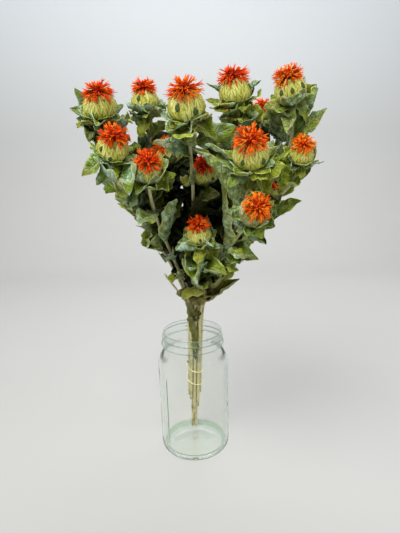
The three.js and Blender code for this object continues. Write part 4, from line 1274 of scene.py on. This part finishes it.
bract_finish = finish_of("pale_dry_bract", dry_bract)
for number, head in flower_heads.items():
    cup = Shape("tone", "along", "aside", "spot")
    cup.add([on_cup(head, 2 * math.pi * side / CORE_SIDES, height, -0.4)
             for height in np.linspace(0.03, 0.97, CORE_ROWS) for side in range(CORE_SIDES)],
            tube_faces(CORE_ROWS, CORE_SIDES), tone=0.3, along=0.5)
    count = 8 if head.size > SMALL_HEAD else 6
    for row in range(len(CUP_TIPS)):
        for index in range(count):
            add_scale(cup, head, row, index, count)
    across, other = crossing(head.axis)
    facing = math.atan2(-other[1], -across[1])
    turns_right = 1 if other[0] * math.cos(facing) > across[0] * math.sin(facing) else -1
    for aside, spot_at, size in leafy_spots.get(number, HIDDEN_SPOTS):
        corners = []
        for share, v in shares(SPOT_ROWS, SPOT_COLUMNS):
            girth = 0.13 * size * max(0.05, math.sin(math.pi * min(1, share * 0.9 + 0.1))) ** 0.7
            height = spot_at + 0.12 * size * (2 * share - 1)
            angle = facing + turns_right * aside + v * girth
            corners.append((on_cup(head, angle, height, 2.6 - 0.5 * v * v),
                            on_cup(head, angle, height, 1.6 - 0.5 * v * v), 0.5, 0))
        add_sheet(cup, SPOT_ROWS, SPOT_COLUMNS, corners, tone=0.5, spot=1.0)
    cup.made(f"flower_cup_{number:02d}", "cup", [bract_finish], f"cup_{number:02d}")


# Cup leaves. A ring of short leafy bracts that stand close round the lower half of each head, silvery on
# the outside. On a few heads they are so long that they hide the cup.
CUP_LEAVES = 10
CUP_LEAF_ROWS = 10
CUP_LEAF_COLUMNS = 6
CUP_LEAF_REACH = 0.42
hooded_heads = {7: 1.1, 8: 0.75, 10: 0.95, 12: 1.15, 14: 0.8}


def add_cup_leaf(collar, head, index):
    number = 8000 + head.number * 53 + index
    chance = chances(number)
    middle = 2 * math.pi * (index + 0.5 * chance(1)) / CUP_LEAVES
    tall = hooded_heads.get(head.number, CUP_LEAF_REACH) * chance(2, 0.6, 1.25)
    half = math.pi / CUP_LEAVES * chance(3, 1.0, 1.7)
    flare = head.size * between(-0.02, 0.3, chance(4) ** 2)
    lean, droop = chance(5, -0.3, 0.3), chance(6)
    corners = []
    for share, v in shares(CUP_LEAF_ROWS, CUP_LEAF_COLUMNS):
        height = between(-0.05, tall, share) - 0.25 * tall * share ** 3 * droop
        narrow = half * max(0, math.sin(math.pi * (0.15 + 0.85 * share))) ** 0.8
        angle = middle + v * narrow + lean * share ** 2
        waves = 0.9 * noise.noise(Vector((angle * 4, height * 5, number % 91))) * share
        proud = 1.5 + 0.12 * (index % 3) + flare * share ** 2.2 + 1.2 * v * v * share + waves
        corners.append((on_cup(head, angle, height, proud + 0.2), on_cup(head, angle, height, proud - 0.2),
                        share, v))
    # Cup leaves deep in the bunch get some painted shade too.
    add_sheet(collar, CUP_LEAF_ROWS, CUP_LEAF_COLUMNS, corners, silver=(1, 0), tone=chance(7), hue=chance(8),
              inside=0.4 * painted_shade_depth(head.base))


for number, head in flower_heads.items():
    collar = Shape("tone", "hue", "inside", "along", "aside", "under")
    for index in range(CUP_LEAVES):
        add_cup_leaf(collar, head, index)
    collar.made(f"cup_leaves_{number:02d}", "leafy_stem", [leather_finish])


# Tufts. Dried florets stand out of each cup's mouth: threads that end in narrow frayed lobes, deep red at
# their feet and orange at their tips. They grow on the cup's own floor.
TUFT_RADIUS = 0.3
TUFT_RISE = 0.05
TUFT_CORE_ROWS = 7
TUFT_CORE_SIDES = 12
FLORETS, SMALL_HEAD_FLORETS = 76, 44
GOLDEN_ANGLE = 2.39996
LOBES = 4
THREAD_SIDES = 4
redness = {1: 0.6, 2: 0.7, 3: 0.3, 4: 0.7, 5: 0.1, 6: 0.65, 7: 0.7, 8: 0.3, 9: 0.4, 10: 0.15, 11: 1.0,
           12: 0.25, 13: 0.7, 14: 0.35, 15: 0.5, 16: 0.6}


def dry_floret(s):
    tone, red = s.mark("tone"), s.mark("red")
    grain = s.speckle(s.place(), 900.0, 2.0)
    tip = (red * 0.8 + tone * 0.3).limited(0.0, 1.0).blend((1.0, 0.17, 0.002), (1.0, 0.04, 0.006))
    tip = (tone.limited(0.55, 1.0) * (1 - red * 0.7)).blend(tip, (1.0, 0.42, 0.03))
    foot = red.blend((0.24, 0.006, 0.001), (0.13, 0.001, 0.002))
    colour = (s.mark("along").limited(0.15, 1.0) * (tone * 0.5 + 0.6)).limited(0.0, 1.0).blend(foot, tip)
    colour = (grain.limited(0.5, 0.8) * 0.3).blend(colour, (0.42, 0.03, 0.002))
    return s.surface(colour, grain * 0.2 + 0.55, s.relief(grain, 0.4, 0.0002), Specular_IOR_Level=0.05)


def add_thread(tuft, path, radii, along, **marks):
    """A tapering thread through the path's points, closed at both ends."""
    points = [point for place, way, radius in zip(path, ways_of(path), radii)
              for point in ring(place, way, [radius] * THREAD_SIDES)]
    tuft.add(points, tube_faces(len(path), THREAD_SIDES), along=np.repeat(along, THREAD_SIDES), **marks)


floret_finish = finish_of("dry_floret", dry_floret)
for number, head in flower_heads.items():
    tuft = Shape("tone", "along", "red")
    red = redness.get(number, 0.2 + 0.6 * draw(number, 90))
    centre = head.top + head.axis * head.size * TUFT_RISE
    core = []
    for level in range(TUFT_CORE_ROWS):
        polar = 1.75 * (1 - level / TUFT_CORE_ROWS) + 0.05
        radius = head.size * TUFT_RADIUS * 0.6
        core += ring(centre + head.axis * math.cos(polar) * radius, head.axis,
                     [math.sin(polar) * radius] * TUFT_CORE_SIDES)
    tuft.add(core, tube_faces(TUFT_CORE_ROWS, TUFT_CORE_SIDES), red=red)
    florets = FLORETS if head.size > SMALL_HEAD else SMALL_HEAD_FLORETS
    for floret in range(florets):
        chance = chances(number * 211 + floret)
        polar = 1.66 * math.sqrt((floret + 0.5) / florets)
        slope = math.sin(polar)
        out = spoke(head.axis, floret * GOLDEN_ANGLE + 0.4 * chance(60))
        way = out * slope + head.axis * math.cos(polar)
        length = head.size * (0.18 + 0.32 * slope) * chance(61, 0.75, 1.15)
        droop = unit(way - head.axis * 0.4 * slope ** 3)
        stray = unit(droop + 0.3 * np.array([chance(part, -0.5, 0.5) for part in (62, 63, 64)]))
        foot = centre + way * head.size * TUFT_RADIUS * 0.35
        reach = centre + stray * length
        neck = between(foot, reach, 0.35) + head.axis * head.size * 0.02
        marks = {"tone": chance(65), "red": red}
        add_thread(tuft, [foot, between(foot, neck, 0.5), neck], (0.55, 0.55, 0.65), (0.1, 0.3, 0.5), **marks)
        for lobe in range(LOBES):
            spread = spoke(stray, 2 * math.pi * (lobe + chance(66)) / LOBES)
            long = np.linalg.norm(reach - neck) * chance(70 + lobe, 0.75, 1.15)
            flare = chance(80 + lobe, 0.05, 0.4)
            tip = neck + stray * long + spread * long * flare
            bend = neck + stray * long * 0.55 + spread * long * flare * 0.28
            add_thread(tuft, [neck + spread * 0.2, bend, tip], (0.36, 0.4, 0.18), (0.5, 0.75, 1.0), **marks)
    tuft.made(f"floret_tuft_{number:02d}", "tuft", [floret_finish], f"tuft_{number:02d}")
